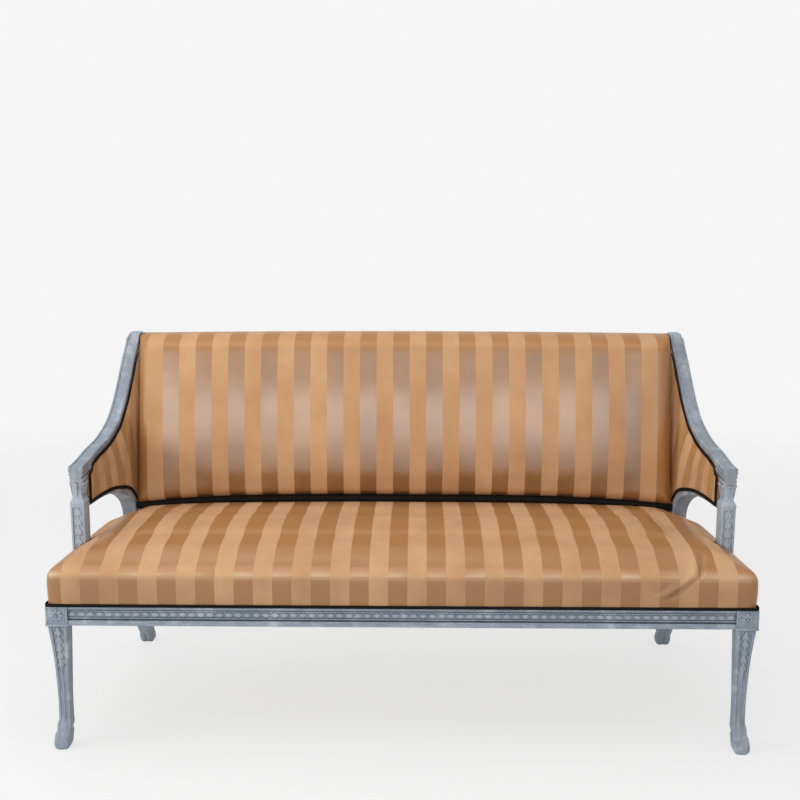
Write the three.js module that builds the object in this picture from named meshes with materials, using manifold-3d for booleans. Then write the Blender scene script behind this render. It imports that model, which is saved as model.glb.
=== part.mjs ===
// A painted settee in the late Gustavian manner: a carved show-wood frame with a striped satin cover.
// Millimetres, +Z up. The front looks along -Y, and left and right are as seen from the front.
// While it is built, y is the distance behind the front face of the frame.
import * as THREE from 'three';
import { mergeVertices } from 'three/addons/utils/BufferGeometryUtils.js';
import Module from 'manifold-3d';

const wasm = await Module();
wasm.setup();

// Overall sizes
const frontWidth = 1605;
const frameDepth = 706;
const backHeight = 905;
const railTop = 348;
const railHeight = 45;
const sideTaper = 0.0742;
const clearance = 0.3;
const cutOverrun = 40;

// Front legs, with a corner block at the seat and a hoof at the floor
const blockSize = 50;
const legTopSize = 44;
const legSquareSetIn = 3;
const ankleWidth = 27;
const ankleDepth = 28;
const ankleHeight = 109;
const hoofWidth = 44;
const hoofDepth = 47;
const hoofHeight = 58;
// From the floor up: shares of the hoof's height, width and depth, and of the leg's top width
// by which the middle lies to the side of the shaft's
const hoofShares = [
  { up: 0, width: 1, depth: 1, front: 0, side: 0.12 },
  { up: 0.2, width: 1.02, depth: 1, front: -0.02, side: 0.12 },
  { up: 0.62, width: 0.94, depth: 0.9, front: 0.05, side: 0.05 },
  { up: 1, width: 0.84, depth: 0.8, front: 0.14, side: -0.03 },
  { up: 1.3, width: 0.7, depth: 0.66, front: 0.2, side: -0.09 },
];
// From the ankle up: shares of the shaft's height and of the ankle's width and depth
const shaftShares = [
  { up: 0, width: 1, depth: 1, side: -0.1 },
  { up: 0.3, width: 1.09, depth: 1.14, side: -0.1 },
  { up: 0.62, width: 1.27, depth: 1.33, side: -0.08 },
];
const legChamferShare = 0.16;

// Rear legs, which rise as the stiles of the back
const stileWidth = 45;
const stileTopWidth = 32;
const stileDepthAtSeat = 53;
const stileDepthAtTop = 38;
const stileFrontAtSeat = 545;
const backRake = 0.104;
const stileSetIn = 3;
const stileLeanIn = 19;
const stileBelowTop = 5;
const rearFootWidth = 42;
const rearFootDepth = 46;
const sabreSteps = 6;
const sabreCurve = 1.45;
const sabreWaist = 0.12;

// Seat rails and what they carry
const railThickness = 28;
const sideRailThickness = 35;
const rearRailThickness = 35;
const railSetBack = 2;
const beadingHeight = 9;
const beadingDepth = 4;
const beadingBelowTop = 17;
const braceLeg = 62;
const braceHeight = 38;
const screwRadius = 2.5;
const screwLength = 30;
const screwHeadRadius = 5;
const screwHeadHeight = 3;
const screwSeat = 15;
const crossBarWidth = 32;
const crossBarHeight = 28;
const rosetteRadius = 18;
const rosetteHeight = 2.2;
const rosetteSides = 16;
// The rosette's turned face, as shares of its radius and height
const rosetteShares = [
  [0, 0],
  [1, 0],
  [1, 0.5],
  [0.72, 1],
  [0.4, 0.6],
  [0.22, 1],
  [0, 1],
];
const roundSides = 10;

// Arms
const postFront = 165;
const postSetIn = 6.3;
const postWidth = 32;
const postDepth = 43;
const postChamferShare = 0.08;
// The post from its foot to the arm, as shares of its height, width and depth
const postShares = [
  { up: 0, width: 1, depth: 1 },
  { up: 0.72, width: 1, depth: 1 },
  { up: 0.76, width: 1.06, depth: 1 },
  { up: 0.8, width: 1.06, depth: 1 },
  { up: 0.81, width: 0.76, depth: 0.82 },
  { up: 0.9, width: 0.8, depth: 0.86 },
  { up: 0.96, width: 0.94, depth: 0.96 },
  { up: 1, width: 0.98, depth: 1 },
];
const armWidth = 34;
const armAheadOfPost = 10;
const armSetIn = 7;
const armThickness = 17;
const terminalThickness = 31;
const terminalLength = 72;
const terminalFade = 14;
const armChamferShare = 0.08;
const armAboveSeat = 170;
const archThickness = 22;
const archFrontThickness = 5;
const archWidth = 38;
const archAboveSeat = 67;
const archInsidePost = 3;
const archInsideStile = 5;
const archAheadOfStile = 31;

// Upholstery
const coverThickness = 1.5;
const seatBehindStileFront = 21;
const seatEdgeHeight = 467;
const seatCrown = 9;
const padInsideStileTop = 14;
const padInsideStileBottom = 4.4;
const padAboveSeat = 26;
const padDroop = 20;
const droopPower = 4.5;
const padDepthTop = 97;
const padDepthBottom = 116;
const padCrown = 14;
const webbingWidth = 50;
const webbingThickness = 1.5;
const hessianThickness = 1;
const hessianSetIn = 12;
const seatStraps = 11;
const seatCrossStraps = 4;
const backStraps = 9;
const backCrossStraps = 4;
const armStuffing = 12;
const armCrown = 4;
const panelTuck = 4;
const outsidePanelSetIn = 3;
const gimpHeight = 7;
const gimpProud = 2.5;
const bandHeight = 16;
const bandDepth = 11;

// Back frame
const crestRailHeight = 42;
const crestBelowTop = 25;
const lowerRailHeight = 40;
const lowerRailAbovePad = 7;
const backUprightWidth = 40;
const outsideBackLap = 14;

// Grids of the upholstered forms: rings over the edge, and steps across the middle
const seatColumns = 12;
const seatRows = 5;
const padColumns = 12;
const padRows = 6;
const armSteps = 18;
const armRows = 2;
const cornerSquareness = 14;
const swellAcrossPower = 6;
const swellAlongPower = 2.4;
const beadingSteps = 6;
const bandSides = 10;
const bandSteps = 20;
const panelSteps = 14;
const panelLowestShare = 0.5;

// Each ring over the seat edge, as shares of how far the roll reaches in and of its rise
const seatRoll = 97;
const seatRollShares = [
  { inset: 0, rise: 0 },
  { inset: 0, rise: 0.32 },
  { inset: 0.05, rise: 0.54 },
  { inset: 0.145, rise: 0.68 },
  { inset: 0.31, rise: 0.8 },
  { inset: 0.535, rise: 0.9 },
  { inset: 1, rise: 1 },
];
// Each ring over the edge of the back pad, from the rear of the frame to its face
const padRoll = 32;
const padRollShares = [
  { inset: 0.28, rise: 0 },
  { inset: 0.06, rise: 0.3 },
  { inset: 0, rise: 0.55 },
  { inset: 0.09, rise: 0.77 },
  { inset: 0.4, rise: 0.93 },
  { inset: 1, rise: 1 },
];
// The top edge of the arm, as shares of its run, its rise and its sweep inward to the back
const armShares = [
  [0, 0, 0.04],
  [0.13, 0.004, 0.02],
  [0.33, 0.038, 0],
  [0.545, 0.063, 0],
  [0.686, 0.112, 0.03],
  [0.789, 0.187, 0.11],
  [0.841, 0.27, 0.2],
  [0.88, 0.37, 0.31],
  [0.928, 0.535, 0.47],
  [0.965, 0.72, 0.66],
  [0.99, 0.9, 0.9],
  [1, 1, 1],
];
// The upper edge of the arch under the arm: shares of its run, its drop and its sweep inward
const archShares = [
  [0, 0, 0],
  [0.31, 0.006, 0.22],
  [0.51, 0.033, 0.39],
  [0.667, 0.087, 0.55],
  [0.80, 0.15, 0.68],
  [0.89, 0.225, 0.77],
  [0.955, 0.34, 0.89],
  [0.99, 0.5, 0.97],
  [1, 0.75, 1],
  [1, 1, 1],
];

// Sizes that follow from the ones above
const mix = THREE.MathUtils.lerp;
const railBottom = railTop - railHeight;
const blockInner = frontWidth / 2 - blockSize;
const stileTop = backHeight - stileBelowTop;
const rearHalfWidth = halfWidthAt(stileFrontAtSeat) - stileSetIn;
const rearTopHalfWidth = rearHalfWidth - stileLeanIn;
const postOuterHalf = halfWidthAt(postFront) - postSetIn;
const postInner = postOuterHalf - postWidth;
const postRear = postFront + postDepth;
const armFront = postFront - armAheadOfPost;
const armFrontHeight = seatEdgeHeight + armAboveSeat;
const armRise = stileTop - armFrontHeight;
const armRun = backFrontAt(stileTop) - armThickness - clearance - armFront;
const armOuterHalf = halfWidthAt(armFront) - armSetIn;
const archSpring = seatEdgeHeight + archAboveSeat;
const archFootHeight = railTop + clearance;
const archDrop = archSpring - archFootHeight;
const archInnerFront = postInner - archInsidePost;
const archInnerRear = rearHalfWidth - stileWidth - archInsideStile;
const archRear = stileFrontAtSeat - archAheadOfStile;
const seatDepth = stileFrontAtSeat + seatBehindStileFront;
const seatRimHeight = railTop + clearance;
const padBottom = seatEdgeHeight + padAboveSeat;
const padHalfTop = stileInnerAt(backHeight) - padInsideStileTop;
const padHalfBottom = stileInnerAt(padBottom) - padInsideStileBottom;
const crestRailTop = backHeight - crestBelowTop;
const crestBottom = crestRailTop - crestRailHeight;
const lowerRailBottom = padBottom + lowerRailAbovePad;
const lowerRailTop = lowerRailBottom + lowerRailHeight;
const outsideBackBottom = railTop - outsideBackLap;
const crossBarOffset = blockInner / 3;
const backUprightOffset = rearTopHalfWidth / 3;

const paint = { color: 0xaeb6bf, roughness: 0.62, metalness: 0 };
const rawWood = { color: 0xb08a5c, roughness: 0.8, metalness: 0 };
const satin = { color: 0xc99b66, roughness: 0.45, metalness: 0 };
const stuffing = { color: 0x6b5440, roughness: 1, metalness: 0 };
const hessian = { color: 0xa98d62, roughness: 1, metalness: 0 };
const blackBraid = { color: 0x16130f, roughness: 0.75, metalness: 0 };
const steel = { color: 0x8c8c8c, roughness: 0.4, metalness: 0.9 };

const settee = new THREE.Group();
settee.position.y = -(frameDepth - gimpProud) / 2;

// Adds one named piece.
function addPiece(name, geometry, finish) {
  const mesh = new THREE.Mesh(geometry, new THREE.MeshStandardMaterial(finish));
  mesh.name = name;
  settee.add(mesh);
}

// Adds a piece made for the right side and its mirror image on the left.
function addPair(name, geometry, finish) {
  addPiece(`${name}_right`, geometry, finish);
  addPiece(`${name}_left`, mirrored(geometry), finish);
}

// Keeps only the positions of a geometry, with its shared vertices merged.
function bare(geometry) {
  const plain = geometry.clone();
  plain.deleteAttribute('normal');
  plain.deleteAttribute('uv');
  return mergeVertices(plain);
}

// Six times the signed volume of a closed mesh.
function signedVolume(positions, indices) {
  const corner = (n) => new THREE.Vector3().fromArray(positions, 3 * indices[n]);
  let total = 0;
  for (let n = 0; n < indices.length; n += 3) {
    total += corner(n).dot(corner(n + 1).cross(corner(n + 2)));
  }
  return total;
}

// Builds a geometry from points and triangles, with its faces turned out.
function closedGeometry(points, triangles) {
  const positions = points.flatMap((point) => point.toArray());
  const flat = triangles.flat();
  if (signedVolume(positions, flat) < 0) {
    flat.reverse();
  }
  const geometry = new THREE.BufferGeometry();
  geometry.setAttribute('position', new THREE.Float32BufferAttribute(positions, 3));
  geometry.setIndex(flat);
  return geometry;
}

// The mirror image of a geometry across the middle of the settee.
function mirrored(geometry) {
  const image = bare(geometry);
  image.scale(-1, 1, 1);
  const reversed = Array.from(image.getIndex().array).reverse();
  image.setIndex(reversed);
  return image;
}

// A body through rings of as many points each, with flat convex ends.
function loft(rings) {
  const sides = rings[0].length;
  const triangles = [];
  for (let r = 0; r + 1 < rings.length; r += 1) {
    for (let s = 0; s < sides; s += 1) {
      const next = (s + 1) % sides;
      const a = r * sides + s;
      const b = r * sides + next;
      const c = (r + 1) * sides + next;
      const d = (r + 1) * sides + s;
      triangles.push([a, b, c], [a, c, d]);
    }
  }
  const last = (rings.length - 1) * sides;
  for (let s = 1; s + 1 < sides; s += 1) {
    triangles.push([0, s + 1, s], [last, last + s, last + s + 1]);
  }
  return closedGeometry(rings.flat(), triangles);
}

// A layer between two surfaces, each a function of column and row, closed round its edge.
function layer(outer, inner, columns, rows) {
  const points = [];
  for (const surface of [outer, inner]) {
    for (let row = 0; row <= rows; row += 1) {
      for (let column = 0; column <= columns; column += 1) {
        points.push(surface(column, row));
      }
    }
  }
  const across = columns + 1;
  const under = across * (rows + 1);
  const triangles = [];
  for (let row = 0; row < rows; row += 1) {
    for (let column = 0; column < columns; column += 1) {
      const a = row * across + column;
      const b = a + 1;
      const c = b + across;
      const d = a + across;
      triangles.push([a, b, c], [a, c, d]);
      triangles.push([under + a, under + c, under + b], [under + a, under + d, under + c]);
    }
  }
  const rim = [];
  for (let column = 0; column < columns; column += 1) {
    rim.push(column);
  }
  for (let row = 0; row < rows; row += 1) {
    rim.push(row * across + columns);
  }
  for (let column = columns; column > 0; column -= 1) {
    rim.push(rows * across + column);
  }
  for (let row = rows; row > 0; row -= 1) {
    rim.push(row * across);
  }
  for (let n = 0; n < rim.length; n += 1) {
    const a = rim[n];
    const b = rim[(n + 1) % rim.length];
    triangles.push([b, a, under + a], [b, under + a, under + b]);
  }
  return closedGeometry(points, triangles);
}

// Where straps of one width begin and end, when a number of them share a span evenly.
function strapEdges(from, to, straps) {
  const pitch = (to - from - webbingWidth) / (straps - 1);
  const edges = [];
  for (let n = 0; n < straps; n += 1) {
    edges.push(from + n * pitch, from + n * pitch + webbingWidth);
  }
  return edges;
}

// A woven net of straps: a sheet between two faces, open wherever two gaps between straps cross.
function strapNet(columnEdges, rowEdges, faceAt, backAt) {
  const across = columnEdges.length;
  const points = [faceAt, backAt].flatMap((placeAt) => (
    rowEdges.flatMap((v) => columnEdges.map((u) => placeAt(u, v)))
  ));
  const under = points.length / 2;
  const isCloth = (column, row) => {
    const inside = column >= 0 && row >= 0 && column < across - 1 && row < rowEdges.length - 1;
    return inside && !(column % 2 === 1 && row % 2 === 1);
  };
  const triangles = [];
  const wall = (a, b) => triangles.push([b, a, under + a], [b, under + a, under + b]);
  for (let row = 0; row + 1 < rowEdges.length; row += 1) {
    for (let column = 0; column + 1 < across; column += 1) {
      if (!isCloth(column, row)) {
        continue;
      }
      const a = row * across + column;
      const b = a + 1;
      const c = b + across;
      const d = a + across;
      triangles.push([a, b, c], [a, c, d]);
      triangles.push([under + a, under + c, under + b], [under + a, under + d, under + c]);
      const borders = [
        [column, row - 1, a, b],
        [column + 1, row, b, c],
        [column, row + 1, c, d],
        [column - 1, row, d, a],
      ];
      for (const [besideColumn, besideRow, from, to] of borders) {
        if (!isCloth(besideColumn, besideRow)) {
          wall(from, to);
        }
      }
    }
  }
  return closedGeometry(points, triangles);
}

// An outline of [x, y] corners raised from one height to another.
function raised(corners, bottom, top) {
  const shape = new THREE.Shape(corners.map(([x, y]) => new THREE.Vector2(x, y)));
  const geometry = new THREE.ExtrudeGeometry(shape, { depth: top - bottom, bevelEnabled: false });
  return bare(geometry.translate(0, 0, bottom));
}

// An outline of [y, z] corners drawn along the width, from one x to another.
function drawnAcross(corners, from, to) {
  const shape = new THREE.Shape(corners.map(([y, z]) => new THREE.Vector2(y, z)));
  const geometry = new THREE.ExtrudeGeometry(shape, { depth: to - from, bevelEnabled: false });
  const turn = new THREE.Matrix4().makeBasis(
    new THREE.Vector3(0, 1, 0),
    new THREE.Vector3(0, 0, 1),
    new THREE.Vector3(1, 0, 0),
  );
  return bare(geometry.applyMatrix4(turn).translate(from, 0, 0));
}

// A rectangular box between two corners.
function block(low, high) {
  const size = high.map((value, axis) => value - low[axis]);
  const middle = high.map((value, axis) => (value + low[axis]) / 2);
  return bare(new THREE.BoxGeometry(...size).translate(...middle));
}

// Turns a closed geometry into a solid that can be cut.
function solidOf(geometry) {
  const plain = bare(geometry);
  const vertProperties = Float32Array.from(plain.getAttribute('position').array);
  const triVerts = Uint32Array.from(plain.getIndex().array);
  return new wasm.Manifold(new wasm.Mesh({ numProp: 3, vertProperties, triVerts }));
}

// The geometry of a cut solid.
function geometryOf(solid) {
  const mesh = solid.getMesh();
  const geometry = new THREE.BufferGeometry();
  geometry.setAttribute('position', new THREE.Float32BufferAttribute(mesh.vertProperties, 3));
  geometry.setIndex(Array.from(mesh.triVerts));
  return geometry;
}

// A piece with others cut away from it.
function cut(geometry, ...tools) {
  const trimmed = tools.reduce((body, tool) => body.subtract(solidOf(tool)), solidOf(geometry));
  return geometryOf(trimmed);
}

// Several solids that run into each other, as one body.
function joined(geometries) {
  return geometryOf(geometries.map(solidOf).reduce((all, body) => all.add(body)));
}

// A rod along an axis direction, from a base point.
function rod(base, direction, radius, length) {
  const geometry = new THREE.CylinderGeometry(radius, radius, length, roundSides);
  geometry.translate(0, length / 2, 0);
  const turn = new THREE.Quaternion().setFromUnitVectors(new THREE.Vector3(0, 1, 0), direction);
  return bare(geometry.applyQuaternion(turn).translate(base.x, base.y, base.z));
}

// Half the width of the seat frame at a distance behind its front.
function halfWidthAt(y) {
  return frontWidth / 2 - sideTaper * y;
}

// The front face of the stiles and of the back frame at a height.
function backFrontAt(z) {
  return stileFrontAtSeat + backRake * (z - railTop);
}

// A level eight-sided ring round a middle: a rectangle with its corners taken off.
function squareRing(centre, middle, width, depth, z, chamferShare) {
  const chamfer = Math.min(width, depth) * chamferShare;
  const xIn = centre - width / 2;
  const xOut = centre + width / 2;
  const yFront = middle - depth / 2;
  const yRear = middle + depth / 2;
  return [
    [xIn + chamfer, yFront],
    [xOut - chamfer, yFront],
    [xOut, yFront + chamfer],
    [xOut, yRear - chamfer],
    [xOut - chamfer, yRear],
    [xIn + chamfer, yRear],
    [xIn, yRear - chamfer],
    [xIn, yFront + chamfer],
  ].map(([x, y]) => new THREE.Vector3(x, y, z));
}

// The front leg: a square corner block, a tapered shaft and a spreading hoof
function frontLeg() {
  const centre = blockInner + blockSize / 2;
  const middle = legSquareSetIn + legTopSize / 2;
  const ring = (width, depth, y, side, z) => (
    squareRing(centre + side * legTopSize, y, width, depth, z, legChamferShare)
  );
  const hoof = hoofShares.map(({ up, width, depth, front, side }) => {
    const y = hoofDepth * (front + depth / 2);
    return ring(hoofWidth * width, hoofDepth * depth, y, side, hoofHeight * up);
  });
  const shaft = shaftShares.map(({ up, width, depth, side }) => (
    ring(ankleWidth * width, ankleDepth * depth, middle, side, mix(ankleHeight, railBottom, up))
  ));
  const top = ring(legTopSize, legTopSize, middle, 0, railBottom);
  const cap = block([blockInner, 0, railBottom], [frontWidth / 2, blockSize, railTop]);
  return joined([loft([...hoof, ...shaft, top]), cap]);
}
addPair('front_leg', frontLeg(), paint);

// The rear leg: a sabre foot that sweeps back, and the raked stile above the seat
function rearLeg() {
  const footCentre = rearHalfWidth - rearFootWidth / 2;
  const stileCentre = rearHalfWidth - stileWidth / 2;
  const stileMiddle = stileFrontAtSeat + stileDepthAtSeat / 2;
  const rings = [];
  for (let step = 0; step < sabreSteps; step += 1) {
    const up = step / sabreSteps;
    const sweep = (1 - up) ** sabreCurve;
    const waist = 1 - sabreWaist * Math.sin(Math.PI * up);
    const width = mix(rearFootWidth, stileWidth, up) * waist;
    const depth = mix(rearFootDepth, stileDepthAtSeat, up) * waist;
    const centre = mix(footCentre, stileCentre, up);
    const middle = mix(stileMiddle, frameDepth - rearFootDepth / 2, sweep);
    rings.push(squareRing(centre, middle, width, depth, up * railBottom, legChamferShare));
  }
  const topCentre = rearTopHalfWidth - stileTopWidth / 2;
  const topMiddle = backFrontAt(stileTop) + stileDepthAtTop / 2;
  rings.push(
    squareRing(stileCentre, stileMiddle, stileWidth, stileDepthAtSeat, railBottom, legChamferShare),
    squareRing(stileCentre, stileMiddle, stileWidth, stileDepthAtSeat, railTop, legChamferShare),
    squareRing(topCentre, topMiddle, stileTopWidth, stileDepthAtTop, stileTop, legChamferShare),
  );
  return loft(rings);
}
addPair('rear_leg', rearLeg(), paint);

// The inner face of a side rail at a distance behind the front, with its clearance.
function innerSideAt(y) {
  return halfWidthAt(y) - sideRailThickness - clearance;
}
const frontBraceWall = railThickness + clearance;
const rearBraceWall = stileFrontAtSeat - clearance;

// A screw from inside the frame through a brace into a rail, and the hole and pocket that it takes
function screwAt(x, y, step) {
  const along = new THREE.Vector3(0, -step, 0);
  const back = along.clone().negate();
  const seat = new THREE.Vector3(x, y + step * screwSeat, railTop - braceHeight / 2);
  const start = seat.clone().addScaledVector(back, screwHeadHeight / 2);
  const shank = rod(start, along, screwRadius, screwLength + screwHeadHeight / 2);
  const head = rod(seat, back, screwHeadRadius, screwHeadHeight);
  const hole = rod(seat, along, screwRadius + clearance, screwLength + clearance);
  const pocketFloor = seat.clone().addScaledVector(along, clearance);
  const pocket = rod(pocketFloor, back, screwHeadRadius + clearance, braceLeg);
  return { screw: joined([shank, head]), hole, pocket };
}
const frontScrew = screwAt(blockInner - clearance - braceLeg / 2, frontBraceWall, 1);
const rearScrew = screwAt(innerSideAt(rearBraceWall) - braceLeg / 2, rearBraceWall, -1);
addPair('front_brace_screw', frontScrew.screw, steel);
addPair('rear_brace_screw', rearScrew.screw, steel);

// The carved rosette on the face of each corner block, as a low turned disc
function rosette() {
  const profile = rosetteShares.map(([out, up]) => (
    new THREE.Vector2(out * rosetteRadius, up * rosetteHeight)
  ));
  const disc = new THREE.LatheGeometry(profile, rosetteSides).rotateX(Math.PI);
  const centre = blockInner + blockSize / 2;
  return bare(disc.translate(centre, -clearance, railTop - railHeight / 2));
}
addPair('corner_rosette', rosette(), paint);

// Seat rails
const rearRailHalf = rearHalfWidth - stileWidth - clearance;

function frontRail() {
  const grooveTop = railTop - beadingBelowTop + beadingHeight / 2 + clearance;
  const grooveBottom = grooveTop - beadingHeight - 2 * clearance;
  const face = railSetBack;
  const sunk = face + beadingDepth / 2 + clearance;
  const outline = [
    [face, railBottom],
    [railThickness, railBottom],
    [railThickness, railTop],
    [face, railTop],
    [face, grooveTop],
    [sunk, grooveTop],
    [sunk, grooveBottom],
    [face, grooveBottom],
  ];
  const rail = drawnAcross(outline, -blockInner + clearance, blockInner - clearance);
  return cut(rail, frontScrew.hole, mirrored(frontScrew.hole));
}
addPiece('front_rail', frontRail(), paint);

function railBeading() {
  const middle = railTop - beadingBelowTop;
  const outline = [];
  for (let step = 0; step <= beadingSteps; step += 1) {
    const angle = (Math.PI * step) / beadingSteps;
    const bulge = beadingDepth * Math.sin(angle);
    outline.push([railSetBack + beadingDepth / 2 - bulge, middle + (beadingHeight / 2) * Math.cos(angle)]);
  }
  return drawnAcross(outline, -blockInner + clearance, blockInner - clearance);
}
addPiece('rail_beading', railBeading(), paint);

function rearRail() {
  const low = [-rearRailHalf, stileFrontAtSeat, railBottom];
  const high = [rearRailHalf, stileFrontAtSeat + rearRailThickness, railTop];
  return cut(block(low, high), rearScrew.hole, mirrored(rearScrew.hole));
}
addPiece('rear_rail', rearRail(), paint);

function sideRail() {
  const front = blockSize + clearance;
  const rear = stileFrontAtSeat - clearance;
  const outline = [
    [halfWidthAt(front), front],
    [halfWidthAt(rear), rear],
    [halfWidthAt(rear) - sideRailThickness, rear],
    [halfWidthAt(front) - sideRailThickness, front],
  ];
  return raised(outline, railBottom, railTop);
}
addPair('side_rail', sideRail(), paint);

// Corner braces inside the seat frame
function frontBrace() {
  const far = frontBraceWall + braceLeg;
  const side = blockInner - clearance;
  const outline = [
    [side, frontBraceWall],
    [side, blockSize + clearance],
    [innerSideAt(far), far],
    [side - braceLeg, frontBraceWall],
  ];
  const wedge = raised(outline, railTop - braceHeight, railTop - clearance);
  return cut(wedge, frontScrew.hole, frontScrew.pocket);
}
addPair('front_brace', frontBrace(), rawWood);

function rearBrace() {
  const far = rearBraceWall - braceLeg;
  const outline = [
    [innerSideAt(rearBraceWall), rearBraceWall],
    [innerSideAt(far), far],
    [innerSideAt(rearBraceWall) - braceLeg, rearBraceWall],
  ];
  const wedge = raised(outline, railTop - braceHeight, railTop - clearance);
  return cut(wedge, rearScrew.hole, rearScrew.pocket);
}
addPair('rear_brace', rearBrace(), rawWood);

function crossBar() {
  const low = railBottom;
  const side = crossBarWidth / 2;
  return block(
    [crossBarOffset - side, railThickness + clearance, low],
    [crossBarOffset + side, stileFrontAtSeat - clearance, low + crossBarHeight],
  );
}
addPair('seat_cross_bar', crossBar(), rawWood);

// Arm posts, standing on the side rails
function armPost() {
  const foot = railTop + clearance;
  const head = armFrontHeight - terminalThickness - clearance;
  const centre = postOuterHalf - postWidth / 2;
  const middle = postFront + postDepth / 2;
  return loft(postShares.map(({ up, width, depth }) => (
    squareRing(centre, middle, postWidth * width, postDepth * depth, mix(foot, head, up), postChamferShare)
  )));
}
addPair('arm_post', armPost(), paint);

// The middle line of the arm's top face, from its front end to the top of the back
function armLine() {
  const points = armShares.map(([run, rise, sweep]) => new THREE.Vector3(
    mix(armOuterHalf, rearTopHalfWidth, sweep) - armWidth / 2,
    armFront + run * armRun,
    armFrontHeight + rise * armRise,
  ));
  return new THREE.CatmullRomCurve3(points, false, 'centripetal').getSpacedPoints(armSteps);
}

// The line of the arch's upper edge, at its inner face
function archLine() {
  const points = archShares.map(([run, drop, sweep]) => new THREE.Vector3(
    mix(archInnerFront, archInnerRear, sweep),
    mix(postRear + clearance, archRear, run),
    archSpring - drop * archDrop,
  ));
  return new THREE.CatmullRomCurve3(points, false, 'centripetal').getSpacedPoints(armSteps);
}

// The upward normal of a line at one of its points, in the side view.
function normalAt(line, index) {
  const before = line[Math.max(index - 1, 0)];
  const after = line[Math.min(index + 1, line.length - 1)];
  const along = new THREE.Vector3().subVectors(after, before);
  return new THREE.Vector3(0, -along.z, along.y).normalize();
}

const armTopLine = armLine();
const archTopLine = archLine();

// How thick the arm is at a distance behind the front: the terminal is deeper than the rest.
function armThicknessAt(y) {
  const terminalEnd = armFront + terminalLength;
  const fade = THREE.MathUtils.smoothstep(y, terminalEnd, terminalEnd + terminalFade);
  return mix(terminalThickness, armThickness, fade);
}

// How thick the arch is: it begins thin at the post and grows towards its foot.
function archThicknessAt(y) {
  const share = THREE.MathUtils.clamp((y - postRear) / (archRear - postRear), 0, 1);
  return mix(archFrontThickness, archThickness, share * share);
}

// A line moved along its own normals by a distance that may change along it.
function shifted(line, distanceAt) {
  return line.map((point, index) => (
    point.clone().addScaledVector(normalAt(line, index), distanceAt(point.y))
  ));
}

// A member of rectangular section along a line, its upper face on the line.
function member(line, innerEdge, outerEdge, thicknessAt, chamferShare) {
  const rings = line.map((point, index) => {
    const normal = normalAt(line, index);
    const thickness = thicknessAt(point.y);
    const chamfer = thickness * chamferShare;
    const corners = [
      [innerEdge + chamfer, 0],
      [outerEdge - chamfer, 0],
      [outerEdge, -chamfer],
      [outerEdge, -thickness],
      [innerEdge, -thickness],
      [innerEdge, -chamfer],
    ];
    return corners.map(([side, down]) => point.clone().addScaledVector(normal, down).setX(point.x + side));
  });
  return loft(rings);
}
addPair('arm_rail', member(armTopLine, -armWidth / 2, armWidth / 2, armThicknessAt, armChamferShare), paint);

function armArch() {
  return member(archTopLine, 0, archWidth, archThicknessAt, 0);
}
addPair('arm_arch', armArch(), paint);

// Back frame
function backMember(bottom, top, from, to, front, rear) {
  const outline = [
    [backFrontAt(bottom) + front, bottom],
    [backFrontAt(bottom) + rear, bottom],
    [backFrontAt(top) + rear, top],
    [backFrontAt(top) + front, top],
  ];
  return drawnAcross(outline, from, to);
}

// Half the clear width between the stiles at a height.
function stileInnerAt(z) {
  const share = (z - railTop) / (stileTop - railTop);
  return mix(rearHalfWidth - stileWidth, rearTopHalfWidth - stileTopWidth, share);
}
const backThickness = stileDepthAtTop;

function betweenStiles(bottom, top, front, rear) {
  const half = stileInnerAt(top) - clearance;
  return backMember(bottom, top, -half, half, front, rear);
}
addPiece('crest_rail', betweenStiles(crestBottom, crestRailTop, 0, backThickness), rawWood);
addPiece('lower_back_rail', betweenStiles(lowerRailBottom, lowerRailTop, 0, backThickness), rawWood);
addPair('back_upright', backMember(
  lowerRailTop + clearance,
  crestBottom - clearance,
  backUprightOffset - backUprightWidth / 2,
  backUprightOffset + backUprightWidth / 2,
  0,
  backThickness,
), rawWood);

// The rings over an edge, from their shares and from how far the roll reaches in.
function ringsOf(rollShares, roll) {
  return rollShares.map(({ inset, rise }) => ({ inset: inset * roll, riseShare: rise }));
}

// Rings over the edge of a padded form, and an even grid across its middle.
// The result says how far a grid point is set in from each pair of edges, and how high it stands.
function ringPlace(index, count, rings) {
  const low = index <= count - index;
  return { depth: Math.min(index, count - index, rings.length - 1), low };
}

function paddedPlace(column, row, columns, rows, rings) {
  const last = rings.length - 1;
  const side = ringPlace(column, columns, rings);
  const end = ringPlace(row, rows, rings);
  const ring = Math.min(side.depth, end.depth);
  let sideInset = rings[side.depth].inset;
  let endInset = rings[end.depth].inset;
  if (side.depth < last && end.depth < last) {
    const turn = side.depth <= end.depth ? last - end.depth : 2 * (last - ring) - (last - side.depth);
    const angle = (turn / (2 * (last - ring))) * (Math.PI / 2);
    const radius = rings[last].inset - rings[ring].inset;
    const power = 2 / cornerSquareness;
    sideInset = rings[last].inset - radius * Math.cos(angle) ** power;
    endInset = rings[last].inset - radius * Math.sin(angle) ** power;
  }
  const acrossShare = THREE.MathUtils.clamp((column - last) / (columns - 2 * last), 0, 1);
  const alongShare = THREE.MathUtils.clamp((row - last) / (rows - 2 * last), 0, 1);
  return { ring, side, end, sideInset, endInset, acrossShare, alongShare };
}

// A smooth swell across the middle of a form, from 0 at its edges to 1.
function swell(acrossShare, alongShare) {
  const across = 1 - Math.abs(2 * acrossShare - 1) ** swellAcrossPower;
  const along = 1 - Math.abs(2 * alongShare - 1) ** swellAlongPower;
  return across * along;
}

const seatRings = ringsOf(seatRollShares, seatRoll);
const seatAcross = seatColumns + 2 * (seatRings.length - 1);
const seatAlong = seatRows + 2 * (seatRings.length - 1);

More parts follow.
